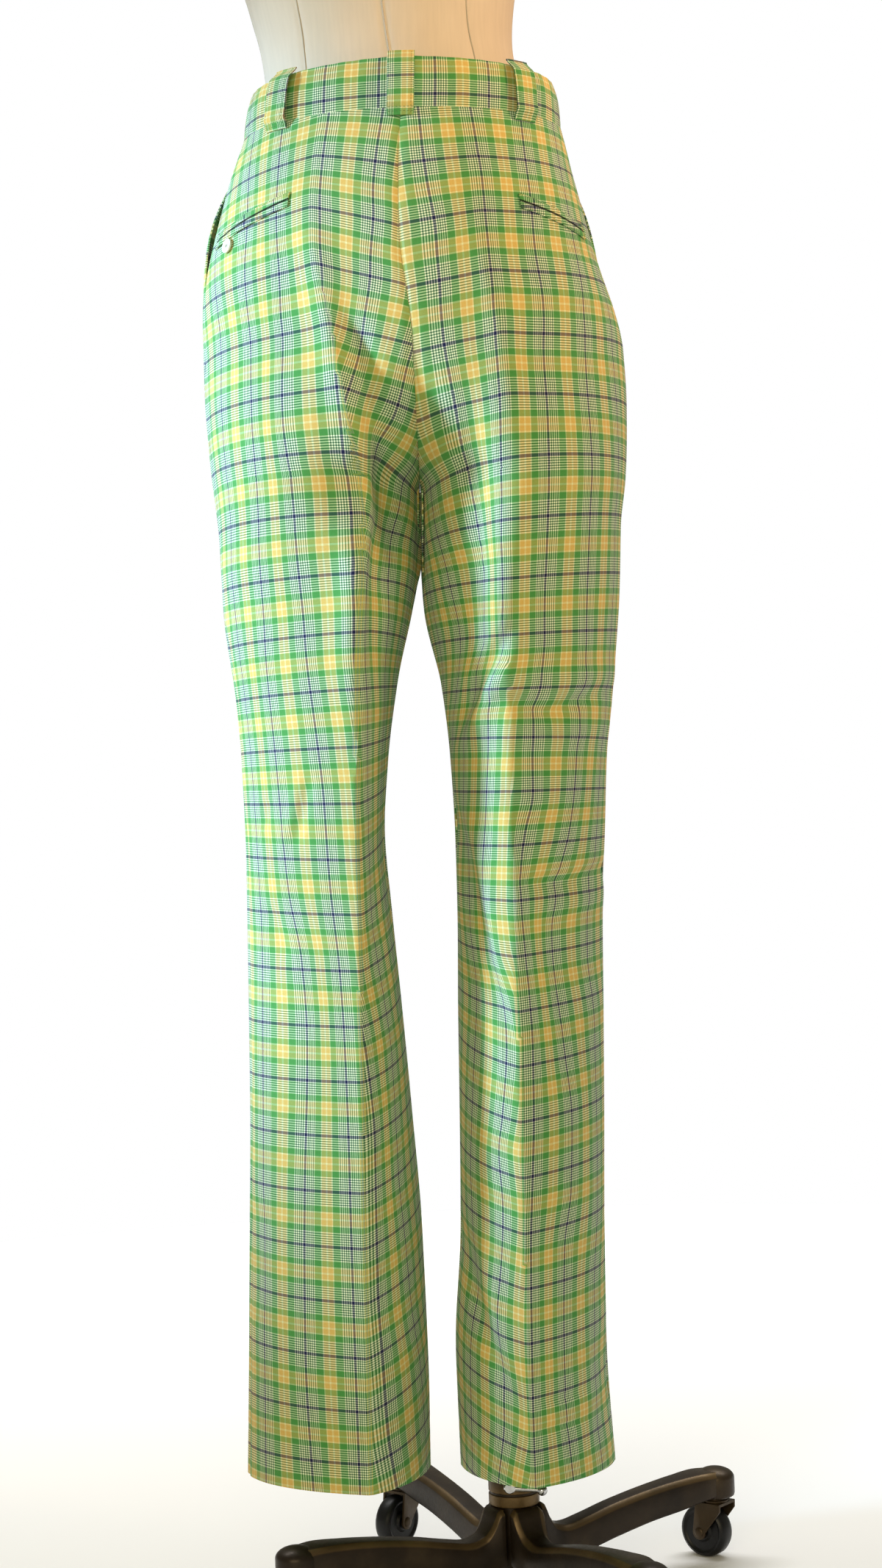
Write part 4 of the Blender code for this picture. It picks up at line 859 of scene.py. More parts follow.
# Each back pocket is a slit edged by two narrow jets of the cloth, with a bar tack at either end.
# They lie on the panel and follow its folds.
JET_WIDTH = 0.0055
JET_THICKNESS = 0.0012
JET_LIFT = 0.0006
BACK_POCKETS = (
    ("left", 56.0, 1.1130, 20.0, 1.0930),
    ("right", 52.0, 1.1060, 20.0, 1.0900),
)
for leg, turn0, z0, turn1, z1 in BACK_POCKETS:
    turns, line = np.linspace(turn0, turn1, 60), np.linspace(z0, z1, 60)
    for which, sign in (("upper", 1), ("lower", -1)):
        width = np.linspace(0, 1, 9)
        z = line[:, None] + sign * (SEAM_GAP + JET_WIDTH * width[None, :] ** 1.5)
        turn = np.repeat(turns[:, None], 9, axis=1)
        spread = spread_at(leg, "back", z, turn)
        x = from_middle(leg, leg_point(leg, z, turn))
        wave = 0.0003 * np.sin(np.linspace(0, 15, 60))[:, None] * width
        low, normals = leg_cloth(leg, "back", z, turn, fold_relief(leg, "back", x, z) + JET_LIFT + wave)
        roll = JET_THICKNESS - 0.0004 * np.abs(2 * width - 1) ** 3
        high = low + normals * roll[None, :, None]
        grain = leg_grain(leg, "back", z, spread) + np.array([0.04, 0.09 * sign])
        jet = cloth_wall(f"pocket_{leg}_{which}_welt", high, low, grain)
        # The faces along the slit edge of each jet take the dimmed cloth: painted shadow down in the slit.
        jet.data.materials.append(slit_shadow_cotton)
        for face in jet.data.polygons:
            face.material_index = int(min(corner % 9 for corner in face.vertices) < 2)
        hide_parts(f"back_pocket_{leg}_{which}_jet")
        sewing_lines.append(high[:, 7])
        for end in (1, -2):
            sewing_lines.append(high[end, :])

# The fly lap is the edge of the wearer's left front folded over the opening, with a curved row of
# topstitching. It only shows from the front.
FLY_WIDTH = 0.034
FLY_FOOT_Z = 1.010
heights = np.linspace(WAIST_SEAM_Z - 0.001, FLY_FOOT_Z, 60)
width = FLY_WIDTH * np.sqrt(np.clip((heights - FLY_FOOT_Z + 0.004) / 0.040, 0.02, 1.0))
start = crossing_turn("left", heights, "front")
turn = start[:, None] + np.linspace(0.2, 0.8, 16)[None, :] * np.degrees(width / 0.15)[:, None]
z = np.repeat(heights[:, None], 16, axis=1)
x = from_middle("left", leg_point("left", z, turn))
low, normals = leg_cloth("left", "front", z, turn, fold_relief("left", "front", x, z) + JET_LIFT)
high = low + normals * JET_THICKNESS
grain = leg_grain("left", "front", z, spread_at("left", "front", z, turn))
lap = cloth_wall("fly_flap", high, low, grain)
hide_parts("fly_lap")
sewing_lines.append(high[:, 13])

# The topstitching on the belt loops, pocket jets and mouths and along the fly is two-ply cotton
# thread of a dull olive green.
for leg in LEGS:
    z = np.linspace(WAIST_SEAM_Z - 0.003, POCKET_MOUTH_FOOT_Z + 0.002, 60)
    turn = front_turns(leg, z, mouth_reach(z) + 0.006)
    sewing_lines.append(leg_cloth(leg, "front", z, turn, mouth_gape(z, 0.5) + 0.0001)[0])


def line_tree(name, sizes):
    """A node tree that takes lines, a few sizes and the thread's material."""
    tree = bpy.data.node_groups.new(name, "GeometryNodeTree")
    tree.interface.new_socket("Lines", in_out="INPUT", socket_type="NodeSocketGeometry")
    for label, value in sizes:
        socket = tree.interface.new_socket(label, in_out="INPUT", socket_type="NodeSocketFloat")
        socket.default_value = value
    tree.interface.new_socket("Thread", in_out="INPUT", socket_type="NodeSocketMaterial")
    tree.interface.new_socket("Made", in_out="OUTPUT", socket_type="NodeSocketGeometry")
    given = tree.nodes.new("NodeGroupInput").outputs
    curves = add_node(tree, "GeometryNodeMeshToCurve", {"Mesh": given["Lines"]})
    return tree, given, curves.outputs["Curve"]


def give_back(tree, given, geometry):
    real = add_node(tree, "GeometryNodeRealizeInstances", {"Geometry": geometry})
    inputs = {"Geometry": real.outputs["Geometry"], "Material": given["Thread"]}
    dyed = add_node(tree, "GeometryNodeSetMaterial", inputs)
    add_node(tree, "NodeGroupOutput", {"Made": dyed.outputs["Geometry"]})
    return tree


def stitch_tree():
    """Runs of stitches: each line is stepped evenly and a plump stitch is laid along it at each step."""
    sizes = (("Step", 0.0026), ("Stitch length", 0.0019), ("Thread radius", 0.00022))
    tree, given, curves = line_tree("run_of_stitches", sizes)
    inputs = {"Curve": curves, "Length": given["Step"]}
    stepped = add_node(tree, "GeometryNodeResampleCurve", inputs, mode="LENGTH")
    inputs = {"Curve": stepped.outputs["Curve"]}
    spots = add_node(tree, "GeometryNodeCurveToPoints", inputs, mode="EVALUATED")
    bead = add_node(tree, "GeometryNodeMeshUVSphere", {"Segments": 6, "Rings": 5, "Radius": 1.0})
    half = math_node(tree, "MULTIPLY", given["Stitch length"], 0.5)
    thread = given["Thread radius"]
    size = add_node(tree, "ShaderNodeCombineXYZ", {"X": half, "Y": thread, "Z": thread})
    inputs = {"Vector": spots.outputs["Tangent"]}
    aim = add_node(tree, "FunctionNodeAlignEulerToVector", inputs, axis="X")
    laid = add_node(tree, "GeometryNodeInstanceOnPoints", {
        "Points": spots.outputs["Points"],
        "Instance": bead.outputs["Mesh"],
        "Rotation": aim.outputs["Rotation"],
        "Scale": size.outputs["Vector"],
    })
    return give_back(tree, given, laid.outputs["Instances"])


def cord_tree():
    """Round cords: each line is swept by a small circle."""
    tree, given, curves = line_tree("round_cord", (("Cord radius", 0.001),))
    inputs = {"Resolution": 8, "Radius": given["Cord radius"]}
    ring = add_node(tree, "GeometryNodeCurvePrimitiveCircle", inputs)
    inputs = {"Curve": curves, "Profile Curve": ring.outputs["Curve"], "Fill Caps": True}
    sweep = add_node(tree, "GeometryNodeCurveToMesh", inputs)
    return give_back(tree, given, sweep.outputs["Mesh"])


def follow_lines(name, lines, tree, settings, body):
    """Lay a tree's stitches or cords along lines of points and keep the result as a plain mesh."""
    points, edges = [], []
    for line in lines:
        first = len(points)
        points += [tuple(place) for place in line]
        edges += [(k, k + 1) for k in range(first, len(points) - 1)]
    guide = bpy.data.meshes.new(name + "_lines")
    guide.from_pydata(points, edges, [])
    made = into_scene(name, guide)
    nodes_on = made.modifiers.new("laid", "NODES")
    nodes_on.node_group = tree
    for socket in tree.interface.items_tree:
        if socket.in_out == "INPUT" and socket.name in settings:
            nodes_on[socket.identifier] = settings[socket.name]
    graph = bpy.context.evaluated_depsgraph_get()
    laid = bpy.data.meshes.new_from_object(made.evaluated_get(graph), depsgraph=graph)
    made.modifiers.remove(nodes_on)
    made.data = laid
    laid.shade_smooth()
    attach(made, body)
    return made


def object_place(tree):
    return add_node(tree, "ShaderNodeTexCoord", {}).outputs["Object"]


def spun_thread(name, colour):
    """Two-ply cotton thread, with its twist as fine slanting bands; the darker bands are painted shade in
    the grooves between the plies.
    """
    made, tree, shader = new_material(name)
    inputs = {"Vector": object_place(tree), "Scale": 900.0, "Distortion": 1.5}
    twist = add_node(tree, "ShaderNodeTexWave", inputs, bands_direction="DIAGONAL").outputs["Fac"]
    # The darker colour is painted shade for the grooves of the twist.
    inputs = {"Factor": twist, "A": tuple(0.62 * c for c in colour[:3]) + (1.0,), "B": colour}
    shade = add_node(tree, "ShaderNodeMix", inputs, data_type="RGBA")
    set_inputs(tree, shader, {"Base Color": shade.outputs["Result"], "Roughness": 0.7})
    raise_by(tree, shader, twist, 0.5, 0.0001)
    return made


green_thread = spun_thread("green_thread", screen_tone(96, 128, 62))
stitches = stitch_tree()
follow_lines("topstitching", sewing_lines, stitches, {"Thread": green_thread}, "form")

# The buttons are turned from river shell: a dished disc with a rounded rim and four holes, sewn on
# with two parallel bars of doubled thread.
BUTTON_RADIUS = 0.0058
BUTTON_THICKNESS = 0.0022
BUTTON_HOLE_RADIUS = 0.0006
BUTTON_HOLE_REACH = 0.00135
BACK_BUTTON_TURN = 30.0
BACK_BUTTON_Z = 1.0860
BAND_BUTTON_Z = 1.2010
BAND_BUTTON_TURN = 264.0


def skin_rings(rings, closed=False):
    """A solid from matching rings of points, capped at each end unless the rings close."""
    solid = bmesh.new()
    made = [[solid.verts.new(Vector(place)) for place in ring] for ring in rings]
    pairs = list(zip(made, made[1:])) + ([(made[-1], made[0])] if closed else [])
    for low, high in pairs:
        for k in range(len(low)):
            after = (k + 1) % len(low)
            solid.faces.new((low[k], low[after], high[after], high[k]))
    if not closed:
        solid.faces.new(made[0][::-1])
        solid.faces.new(made[-1])
    bmesh.ops.recalc_face_normals(solid, faces=solid.faces)
    return solid


def turned(profile, sides, closed=False):
    """Turn a profile of (radius, height) about Z."""
    around = [2 * math.pi * k / sides for k in range(sides)]
    rings = [[(r * math.cos(a), r * math.sin(a), h) for a in around] for r, h in profile]
    return skin_rings(rings, closed)


def finished(name, solids, material, sharp=40):
    """Join solids into one object at the origin."""
    whole = bmesh.new()
    for solid in solids:
        part = bpy.data.meshes.new("part")
        solid.to_mesh(part)
        solid.free()
        whole.from_mesh(part)
        bpy.data.meshes.remove(part)
    mesh = bpy.data.meshes.new(name)
    whole.to_mesh(mesh)
    whole.free()
    mesh.materials.append(material)
    mesh.shade_smooth()
    mesh.set_sharp_from_angle(angle=math.radians(sharp))
    made = into_scene(name, mesh)
    return made


def shell_material():
    made, tree, shader = new_material("river_shell")
    place = object_place(tree)
    inputs = {"Vector": place, "Scale": 160.0, "Distortion": 9.0}
    bands = add_node(tree, "ShaderNodeTexWave", inputs).outputs["Fac"]
    tones = ((0.0, (226, 222, 206)), (0.5, (246, 244, 234)), (1.0, (232, 236, 232)))
    set_inputs(tree, shader, {
        "Base Color": colour_run(tree, bands, tones),
        "Roughness": 0.24,
        "Coat Weight": 0.4,
        "Coat Roughness": 0.12,
    })
    raise_by(tree, shader, node_noise(tree, 900.0, 3.0, place), 0.15, 0.0001)
    return made


shell = shell_material()
pale_thread = spun_thread("pale_thread", screen_tone(214, 216, 184))
# Shares of the button's radius and of half its thickness.
BUTTON_PROFILE = (
    (0.30, -1.0), (0.82, -1.0), (0.95, -0.75), (1.0, -0.2), (1.0, 0.45), (0.97, 0.78), (0.90, 0.97),
    (0.82, 1.0), (0.74, 0.86), (0.66, 0.52), (0.55, 0.38), (0.40, 0.34), (0.12, 0.34),
)


def sewn_button(name, node, spot, normal, lift):
    """Set a button on its place and return the strands that sew it on."""
    half = BUTTON_THICKNESS / 2
    disc = turned([(BUTTON_RADIUS * share, half * height) for share, height in BUTTON_PROFILE], 48)
    blank = finished(name + "_blank", [disc], shell)
    drills = []
    for k in range(4):
        angle = math.radians(45 + 90 * k)
        drill = turned([(BUTTON_HOLE_RADIUS, -0.004), (BUTTON_HOLE_RADIUS, 0.004)], 14)
        drill.transform(Matrix.Translation((
            BUTTON_HOLE_REACH * math.cos(angle), BUTTON_HOLE_REACH * math.sin(angle), 0)))
        drills.append(drill)
    drill = finished(name + "_drill", drills, shell)
    bored = blank.modifiers.new("bored", "BOOLEAN")
    bored.operation = "DIFFERENCE"
    bored.solver = "EXACT"
    bored.object = drill
    graph = bpy.context.evaluated_depsgraph_get()
    mesh = bpy.data.meshes.new_from_object(blank.evaluated_get(graph), depsgraph=graph)
    for tool in (blank, drill):
        bpy.data.objects.remove(tool, do_unlink=True)
    centre = Vector(spot) + Vector(normal) * lift
    set_in = Matrix.Translation(centre) @ Vector(normal).to_track_quat("Z", "Y").to_matrix().to_4x4()
    mesh.transform(set_in)
    mesh.set_sharp_from_angle(angle=math.radians(35))
    made = into_scene(name, mesh)
    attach(made, "form")
    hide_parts(node)
    reach = BUTTON_HOLE_REACH * math.sqrt(0.5)
    strands = []
    for side in (-1, 1):
        for shift in (-0.00018, 0.00018):
            bridge = np.linspace(-1, 1, 13)
            arch = 0.0004 + 0.0005 * (1 - bridge ** 4) - 0.0016 * (np.abs(bridge) > 0.95)
            strand = [(reach * side + shift, reach * b, high) for b, high in zip(bridge, arch)]
            strands.append([set_in @ Vector(place) for place in strand])
    return strands


cords = cord_tree()
z = np.array(BACK_BUTTON_Z)
spot = leg_point("left", z, BACK_BUTTON_TURN)
normal = leg_outward("left", z, BACK_BUTTON_TURN)
lift = BUTTON_THICKNESS / 2 + 3 * SEAM_GAP
strands = sewn_button("pocket_button", "back_pocket_button", spot, normal, lift)
z = np.array(BAND_BUTTON_Z)
spot = ring_point(BAND_SECTIONS, z, BAND_BUTTON_TURN)
normal = ring_outward(BAND_SECTIONS, z, BAND_BUTTON_TURN)
lift = BUTTON_THICKNESS / 2 + SEAM_GAP
strands += sewn_button("waist_button", "waistband_button", spot, normal, lift)
settings = {"Cord radius": 0.00020, "Thread": pale_thread}
follow_lines("button_thread", strands, cords, settings, "form")

# The torso is a padded papier-mache form covered in unbleached linen, cut in panels. Its seams are
# drawn in and each carries a fine cord.
FORM_SECTIONS = (
    (0.9380, 0.1180, -0.0700, 0.0600),
    (0.9415, 0.1290, -0.0790, 0.0690),
    (0.9500, 0.1390, -0.0880, 0.0780),
    (0.9700, 0.1500, -0.1000, 0.0890),
    (1.0000, 0.1575, -0.1130, 0.1010),
    (1.0300, 0.1629, -0.1211, 0.1103),
    (1.0475, 0.1600, -0.1197, 0.1098),
    (1.0650, 0.1562, -0.1178, 0.1087),
    (1.0870, 0.1490, -0.1115, 0.1040),
    (1.1100, 0.1395, -0.1040, 0.0985),
    (1.1800, 0.1125, -0.0830, 0.0850),
    (1.2200, 0.1020, -0.0765, 0.0790),
    (1.2450, 0.1010, -0.0760, 0.0780),
    (1.2850, 0.1065, -0.0790, 0.0830),
    (1.3300, 0.1190, -0.0860, 0.1010),
    (1.3800, 0.1310, -0.0910, 0.1190),
    (1.4200, 0.1355, -0.0935, 0.1220),
    (1.4600, 0.1385, -0.0950, 0.1120),
    (1.5050, 0.1460, -0.0935, 0.0915),
    (1.5400, 0.1500, -0.0880, 0.0780),
    (1.5700, 0.1512, -0.0790, 0.0660),
    (1.5900, 0.1390, -0.0700, 0.0570),
    (1.6030, 0.1120, -0.0620, 0.0500),
    (1.6130, 0.0830, -0.0560, 0.0450),
    (1.6250, 0.0640, -0.0510, 0.0410),
    (1.6450, 0.0540, -0.0475, 0.0380),
    (1.6800, 0.0505, -0.0455, 0.0360),
)
# How far the form leans to the wearer's left, from the hips up.
FORM_LEAN = (
    (1.110, 0.0),
    (1.180, -0.0022),
    (1.220, -0.0080),
    (1.250, -0.0120),
    (1.290, -0.0150),
    (1.340, -0.0160),
)
# Each seam of the cover: its angle round the body low down, at the waist and at the neck.
COVER_SEAMS = (
    (90.0, 90.0, 90.0),
    (46.0, 50.0, 62.0),
    (134.0, 130.0, 118.0),
    (1.0, 1.0, 1.0),
    (179.0, 179.0, 179.0),
    (-90.0, -90.0, -90.0),
    (-48.0, -54.0, -66.0),
    (-132.0, -126.0, -114.0),
)
COVER_SEAM_HEIGHTS = (0.94, 1.23, 1.60)
COVER_GIRTH = 0.66
THREADS_PER_METRE = 900


def seam_turn(seam, z):
    return np.interp(z, COVER_SEAM_HEIGHTS, seam)


def form_skin(z, turn):
    """A point of the linen cover, drawn in at its seams."""
    points = ring_point(FORM_SECTIONS, z, turn)
    points[..., 0] += read_rows(FORM_LEAN, z)
    gaps = [np.abs((turn - seam_turn(seam, z) + 180) % 360 - 180) for seam in COVER_SEAMS]
    groove = 0.0009 * np.exp(-((np.stack(gaps).min(axis=0) / 1.1) ** 2))
    return points - ring_outward(FORM_SECTIONS, z, turn) * groove[..., None]


def linen_material():
    """Plain linen: uneven threads both ways, slubs, and a soft yellowing in patches."""
    made, tree, shader = new_material("form_linen")
    cover = add_node(tree, "ShaderNodeUVMap", {}, uv_map="cover").outputs["UV"]
    split = add_node(tree, "ShaderNodeSeparateXYZ", {0: cover})
    woven = woven_threads(tree, split.outputs["X"], split.outputs["Y"], THREADS_PER_METRE)
    inputs = {"Vector": cover, "Scale": (260.0, 26.0, 1.0)}
    slub = node_noise(tree, 1.0, 4.0, add_node(tree, "ShaderNodeMapping", inputs).outputs["Vector"])
    stain = node_noise(tree, 5.0, 4.0, object_place(tree))
    tones = ((0.30, (206, 188, 160)), (0.55, (220, 204, 178)), (0.75, (226, 213, 190)))
    tone = colour_run(tree, stain, tones)
    set_inputs(tree, shader, {
        "Base Color": dimmed(tree, tone, map_range(tree, slub, 0.90, 1.04)),
        "Roughness": 0.88,
        "Specular IOR Level": 0.2,
    })
    height = math_node(tree, "ADD", math_node(tree, "MULTIPLY", woven, 0.3), slub)
    raise_by(tree, shader, height, 0.3, 0.0004)
    return made


linen = linen_material()
spans = ((0.938, 0.972, 14), (0.978, 1.55, 116), (1.554, 1.68, 46))
heights = np.concatenate([np.linspace(*span) for span in spans])
turns = np.linspace(0, 360, 240, endpoint=False)
z, turn = np.meshgrid(heights, turns, indexing="ij")
skin = form_skin(z, turn)
rings = [list(map(tuple, ring)) for ring in skin]
low_centre, high_centre = skin[0].mean(axis=0), skin[-1].mean(axis=0)
rings = [[tuple(low_centre + (np.array(p) - low_centre) * 0.5) for p in rings[0]]] + rings
rings += [[tuple(high_centre + (np.array(p) - high_centre) * 0.5) for p in rings[-1]]]
torso = finished("linen_torso", [skin_rings(rings)], linen, 50)
layer = torso.data.uv_layers.new(name="cover")
spots = np.array([torso.data.vertices[loop.vertex_index].co for loop in torso.data.loops])
wrap = np.arctan2(-(spots[:, 1]), spots[:, 0] - BODY_X) / (2 * math.pi)
for polygon in torso.data.polygons:
    ends = np.arange(polygon.loop_start, polygon.loop_start + polygon.loop_total)
    if np.ptp(wrap[ends]) > 0.5:
        wrap[ends] = np.where(wrap[ends] < 0, wrap[ends] + 1.0, wrap[ends])
cover = np.stack([wrap * COVER_GIRTH, spots[:, 2]], axis=-1)
layer.data.foreach_set("uv", cover.astype(np.float32).ravel())
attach(torso, "form")
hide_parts("form_torso")
piping = []
level = np.linspace(0.990, 1.660, 150)
for seam in COVER_SEAMS:
    turn = seam_turn(seam, level)
    piping.append(form_skin(level, turn) + ring_outward(FORM_SECTIONS, level, turn) * 0.0003)
linen_cord = spun_thread("linen_cord", screen_tone(206, 192, 166))
settings = {"Cord radius": 0.0007, "Thread": linen_cord}
follow_lines("cover_piping", piping, cords, settings, "form")
neckline = [form_skin(np.full(121, 1.676), np.linspace(0, 360, 121))]
settings = {"Cord radius": 0.0012, "Thread": linen_cord}
follow_lines("neck_tape", neckline, cords, settings, "form")

# The neck cap is a turned disc of stained beech, screwed down over the cover.
NECK_PROFILE = (
    (0.0400, 0.0), (0.0440, 0.0006), (0.0462, 0.0022), (0.0472, 0.0046), (0.0472, 0.0068),
    (0.0462, 0.0090), (0.0440, 0.0104), (0.0432, 0.0108), (0.0428, 0.0116), (0.0415, 0.0126),
    (0.0380, 0.0140), (0.0350, 0.0147), (0.0120, 0.0147), (0.0100, 0.0139), (0.0020, 0.0139),
)


def beech_material():
    made, tree, shader = new_material("stained_beech")
    inputs = {"Vector": object_place(tree), "Scale": (26.0, 220.0, 60.0)}
    grain = node_noise(tree, 1.0, 8.0, add_node(tree, "ShaderNodeMapping", inputs).outputs["Vector"])
    tones = ((0.30, (70, 42, 24)), (0.50, (112, 70, 40)), (0.70, (142, 92, 54)))
    set_inputs(tree, shader, {
        "Base Color": colour_run(tree, grain, tones),
        "Roughness": 0.38,
        "Coat Weight": 0.35,
        "Coat Roughness": 0.2,
    })
    raise_by(tree, shader, grain, 0.2, 0.0003)
    return made


neck = turned([(radius, FORM_SECTIONS[-1][0] + SEAM_GAP + height) for radius, height in NECK_PROFILE], 96)
neck.transform(Matrix.Translation((
    BODY_X + SWAY[0][1] + FORM_LEAN[-1][1], (FORM_SECTIONS[-1][2] + FORM_SECTIONS[-1][3]) / 2, 0)))
neck = finished("neck_disc", [neck], beech_material())
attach(neck, "form")
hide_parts("neck_cap")

# The pole and its flange are steel tube and a turned plate, both lacquered to match the castings.
POLE_X = 0.0130
POLE_RADIUS = 0.0140
POLE_FOOT_Z = 0.0200
POLE_TOP_Z = 0.9370
FLANGE_RADIUS = 0.0320
FLANGE_FOOT_Z = 0.9160


def bronze_material():
    """Dark brown lacquer over cast iron; a share per vertex mixes in brass colour, painted highlight along
    the arms' chamfered edges and the collar's rings, and an even brassy tint on the forks.
    """
    made, tree, shader = new_material("bronzed_casting")
    place = object_place(tree)
    highlight_and_wear_share = add_node(tree, "ShaderNodeAttribute", {}, attribute_name="highlight_and_wear").outputs["Fac"]
    cloudy = node_noise(tree, 30.0, 5.0, place)
    fine = node_noise(tree, 420.0, 4.0, place)
    shade = add_node(tree, "ShaderNodeMix", {
        "Factor": math_node(tree, "MULTIPLY", highlight_and_wear_share, math_node(tree, "ADD", cloudy, 0.25)),
        "A": colour_run(tree, cloudy, ((0.30, (34, 27, 20)), (0.55, (50, 40, 29)), (0.75, (68, 56, 40)))),
        "B": screen_tone(150, 122, 76),
    }, data_type="RGBA")
    set_inputs(tree, shader, {
        "Base Color": shade.outputs["Result"],
        "Metallic": 0.60,
        "Roughness": map_range(tree, fine, 0.28, 0.52),
    })
    raise_by(tree, shader, fine, 0.25, 0.0003)
    return made


bronze = bronze_material()


def cast_piece(name, solids, body, node, material, highlight_and_wear=None, sharp=40):
    """Finish a piece of the stand; a function given for it sets each vertex's share of brass colour, from 0
    to 1: painted highlight on arm edges and collar rings, a plain tint on the forks.
    """
    made = finished(name, solids, material, sharp)
    if highlight_and_wear:
        highlight_and_wear_layer = made.data.attributes.new("highlight_and_wear", "FLOAT", "POINT")
        highlight_and_wear_layer.data.foreach_set("value", [float(highlight_and_wear(vertex)) for vertex in made.data.vertices])
    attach(made, body)
    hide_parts(node)
    return made


tube = turned([(POLE_RADIUS - 0.0012, POLE_FOOT_Z), (POLE_RADIUS - 0.0003, POLE_FOOT_Z + 0.0003),
               (POLE_RADIUS, POLE_FOOT_Z + 0.0012), (POLE_RADIUS, 0.30), (POLE_RADIUS, 0.60),
               (POLE_RADIUS, POLE_TOP_Z)], 64)
tube.transform(Matrix.Translation((POLE_X, 0, 0)))
cast_piece("steel_pole", [tube], "pole", "pole", bronze)
top = FORM_SECTIONS[0][0] - SEAM_GAP
bore = POLE_RADIUS + 2 * SEAM_GAP
FLANGE_PROFILE = (
    (bore, FLANGE_FOOT_Z), (0.0204, FLANGE_FOOT_Z), (0.0212, FLANGE_FOOT_Z + 0.0008), (0.0216, top - 0.0075),
    (0.0226, top - 0.0055), (0.0245, top - 0.0044), (0.0312, top - 0.0038), (FLANGE_RADIUS, top - 0.0030),
    (FLANGE_RADIUS, top), (bore, top),
)
plate = [turned(FLANGE_PROFILE, 72, closed=True)]
for k in range(4):
    angle = math.radians(45 + 90 * k)
    screw = turned([(0.0022, -0.0014), (0.0021, -0.0022), (0.0012, -0.0028), (0.0003, -0.0030)], 16)
    screw.transform(Matrix.Translation((0.0272 * math.cos(angle), 0.0272 * math.sin(angle), top - 0.0026)))
    plate.append(screw)
for solid in plate:
    solid.transform(Matrix.Translation((POLE_X, 0, 0)))
cast_piece("flange_plate", plate, "form", "pole_flange", bronze)

# The stand is four S-curved iron arms cast with a tall socket for the pole, chamfered along their top
# edges, and a collar with turned rings. Each arm ends in a domed boss over its caster.
HUB_CORE_RADIUS = 0.0165
HUB_COLLAR_RADIUS = 0.0205
HUB_FOOT_Z = 0.0300
HUB_SHOULDER_Z = 0.0778
HUB_TOP_Z = 0.1280
ARM_COUNT = 4
FIRST_ARM_TURN = 28.6
ARM_SECTIONS = (
    (0.0168, 0.0310, 0.0775, 0.0125),
    (0.0205, 0.0308, 0.0770, 0.0125),
    (0.0260, 0.0303, 0.0660, 0.0123),
    (0.0330, 0.0298, 0.0575, 0.0120),
    (0.0450, 0.0292, 0.0545, 0.0118),
    (0.0620, 0.0305, 0.0575, 0.0116),
    (0.0900, 0.0365, 0.0640, 0.0116),
    (0.1250, 0.0435, 0.0700, 0.0120),
    (0.1550, 0.0480, 0.0735, 0.0132),
    (0.1780, 0.0525, 0.0750, 0.0150),
    (0.1950, 0.0535, 0.0740, 0.0130),
)
ARM_CHAMFER = 0.0040
ARM_RINGS = 76
ARM_RING_POINTS = 14
ARM_EDGE_POINTS = (4, 5, 8, 9)
CASTER_REACH = 0.195
BOSS_RADIUS = 0.0165
BOSS_FOOT_Z = 0.0520
BOSS_TOP_Z = 0.0765
collar = HUB_COLLAR_RADIUS
HUB_PROFILE = (
    (bore, HUB_FOOT_Z), (HUB_CORE_RADIUS - 0.0008, HUB_FOOT_Z), (HUB_CORE_RADIUS, HUB_FOOT_Z + 0.0010),
    (HUB_CORE_RADIUS, HUB_SHOULDER_Z - 0.0006), (HUB_CORE_RADIUS + 0.0010, HUB_SHOULDER_Z),
    (collar - 0.0006, 0.0784), (collar, 0.0792), (collar, 0.0868), (collar - 0.0009, 0.0876),
    (collar - 0.0009, 0.0888), (collar, 0.0896), (collar, 0.1010), (collar - 0.0008, 0.1062),
    (collar - 0.0016, 0.1080), (collar - 0.0016, 0.1092), (collar - 0.0002, 0.1100), (collar, 0.1110),
    (collar, 0.1142), (collar - 0.0006, 0.1150), (collar - 0.0018, 0.1156), (collar - 0.0020, 0.1240),
    (collar - 0.0026, 0.1262), (collar - 0.0040, 0.1276), (bore + 0.0006, HUB_TOP_Z),
    (bore, HUB_TOP_Z - 0.0006),
)
hub = turned(HUB_PROFILE, 72, closed=True)
hub.transform(Matrix.Translation((POLE_X, 0, 0)))
# The collar's ring edges get brass colour: painted highlight.
ringed = (0.0784, 0.0792, 0.0868, 0.0896, 0.1100, 0.1110, 0.1142, 0.1262)
cast_piece("socket_casting", [hub], "stand", "stand_hub", bronze,
           lambda v: 0.6 * (min(abs(v.co.z - level) for level in ringed) < 0.0002))


def arm_ring(reach):
    """The outline of an arm's section, chamfered along the top, at a reach from the pole."""
    foot, top, half = (float(read_rows(ARM_SECTIONS, reach, column)) for column in (1, 2, 3))
    root = 0.0022 * float(ease(0.036, 0.018, reach))
    half += root
    cut = ARM_CHAMFER
    soft = 0.0009
    side = [
        (half - cut / 2 - soft, foot),
        (half - cut / 2 + soft, foot + soft),
        (half, foot + cut / 2 + soft),
        (half, top - cut - soft),
        (half - soft / 2, top - cut + soft / 2),
        (half - cut + soft / 2, top - soft / 2),
        (half - cut - soft, top),
    ]
    outline = side + [(-y, z) for y, z in side[::-1]]
    return [(reach, y, z) for y, z in outline]


def arc(across, up, low, high, step):
    """Points of an arc about the origin, over a span of whole degrees."""
    angles = [math.radians(angle) for angle in range(low, high, step)]
    return [(across * math.cos(angle), up * math.sin(angle)) for angle in angles]


# The chamfer edges along each arm get brass colour: painted highlight.
def arm_edge_highlight(vertex):
    on_arm = vertex.index < ARM_RINGS * ARM_RING_POINTS
    return 0.35 if on_arm and vertex.index % ARM_RING_POINTS in ARM_EDGE_POINTS else 0.0


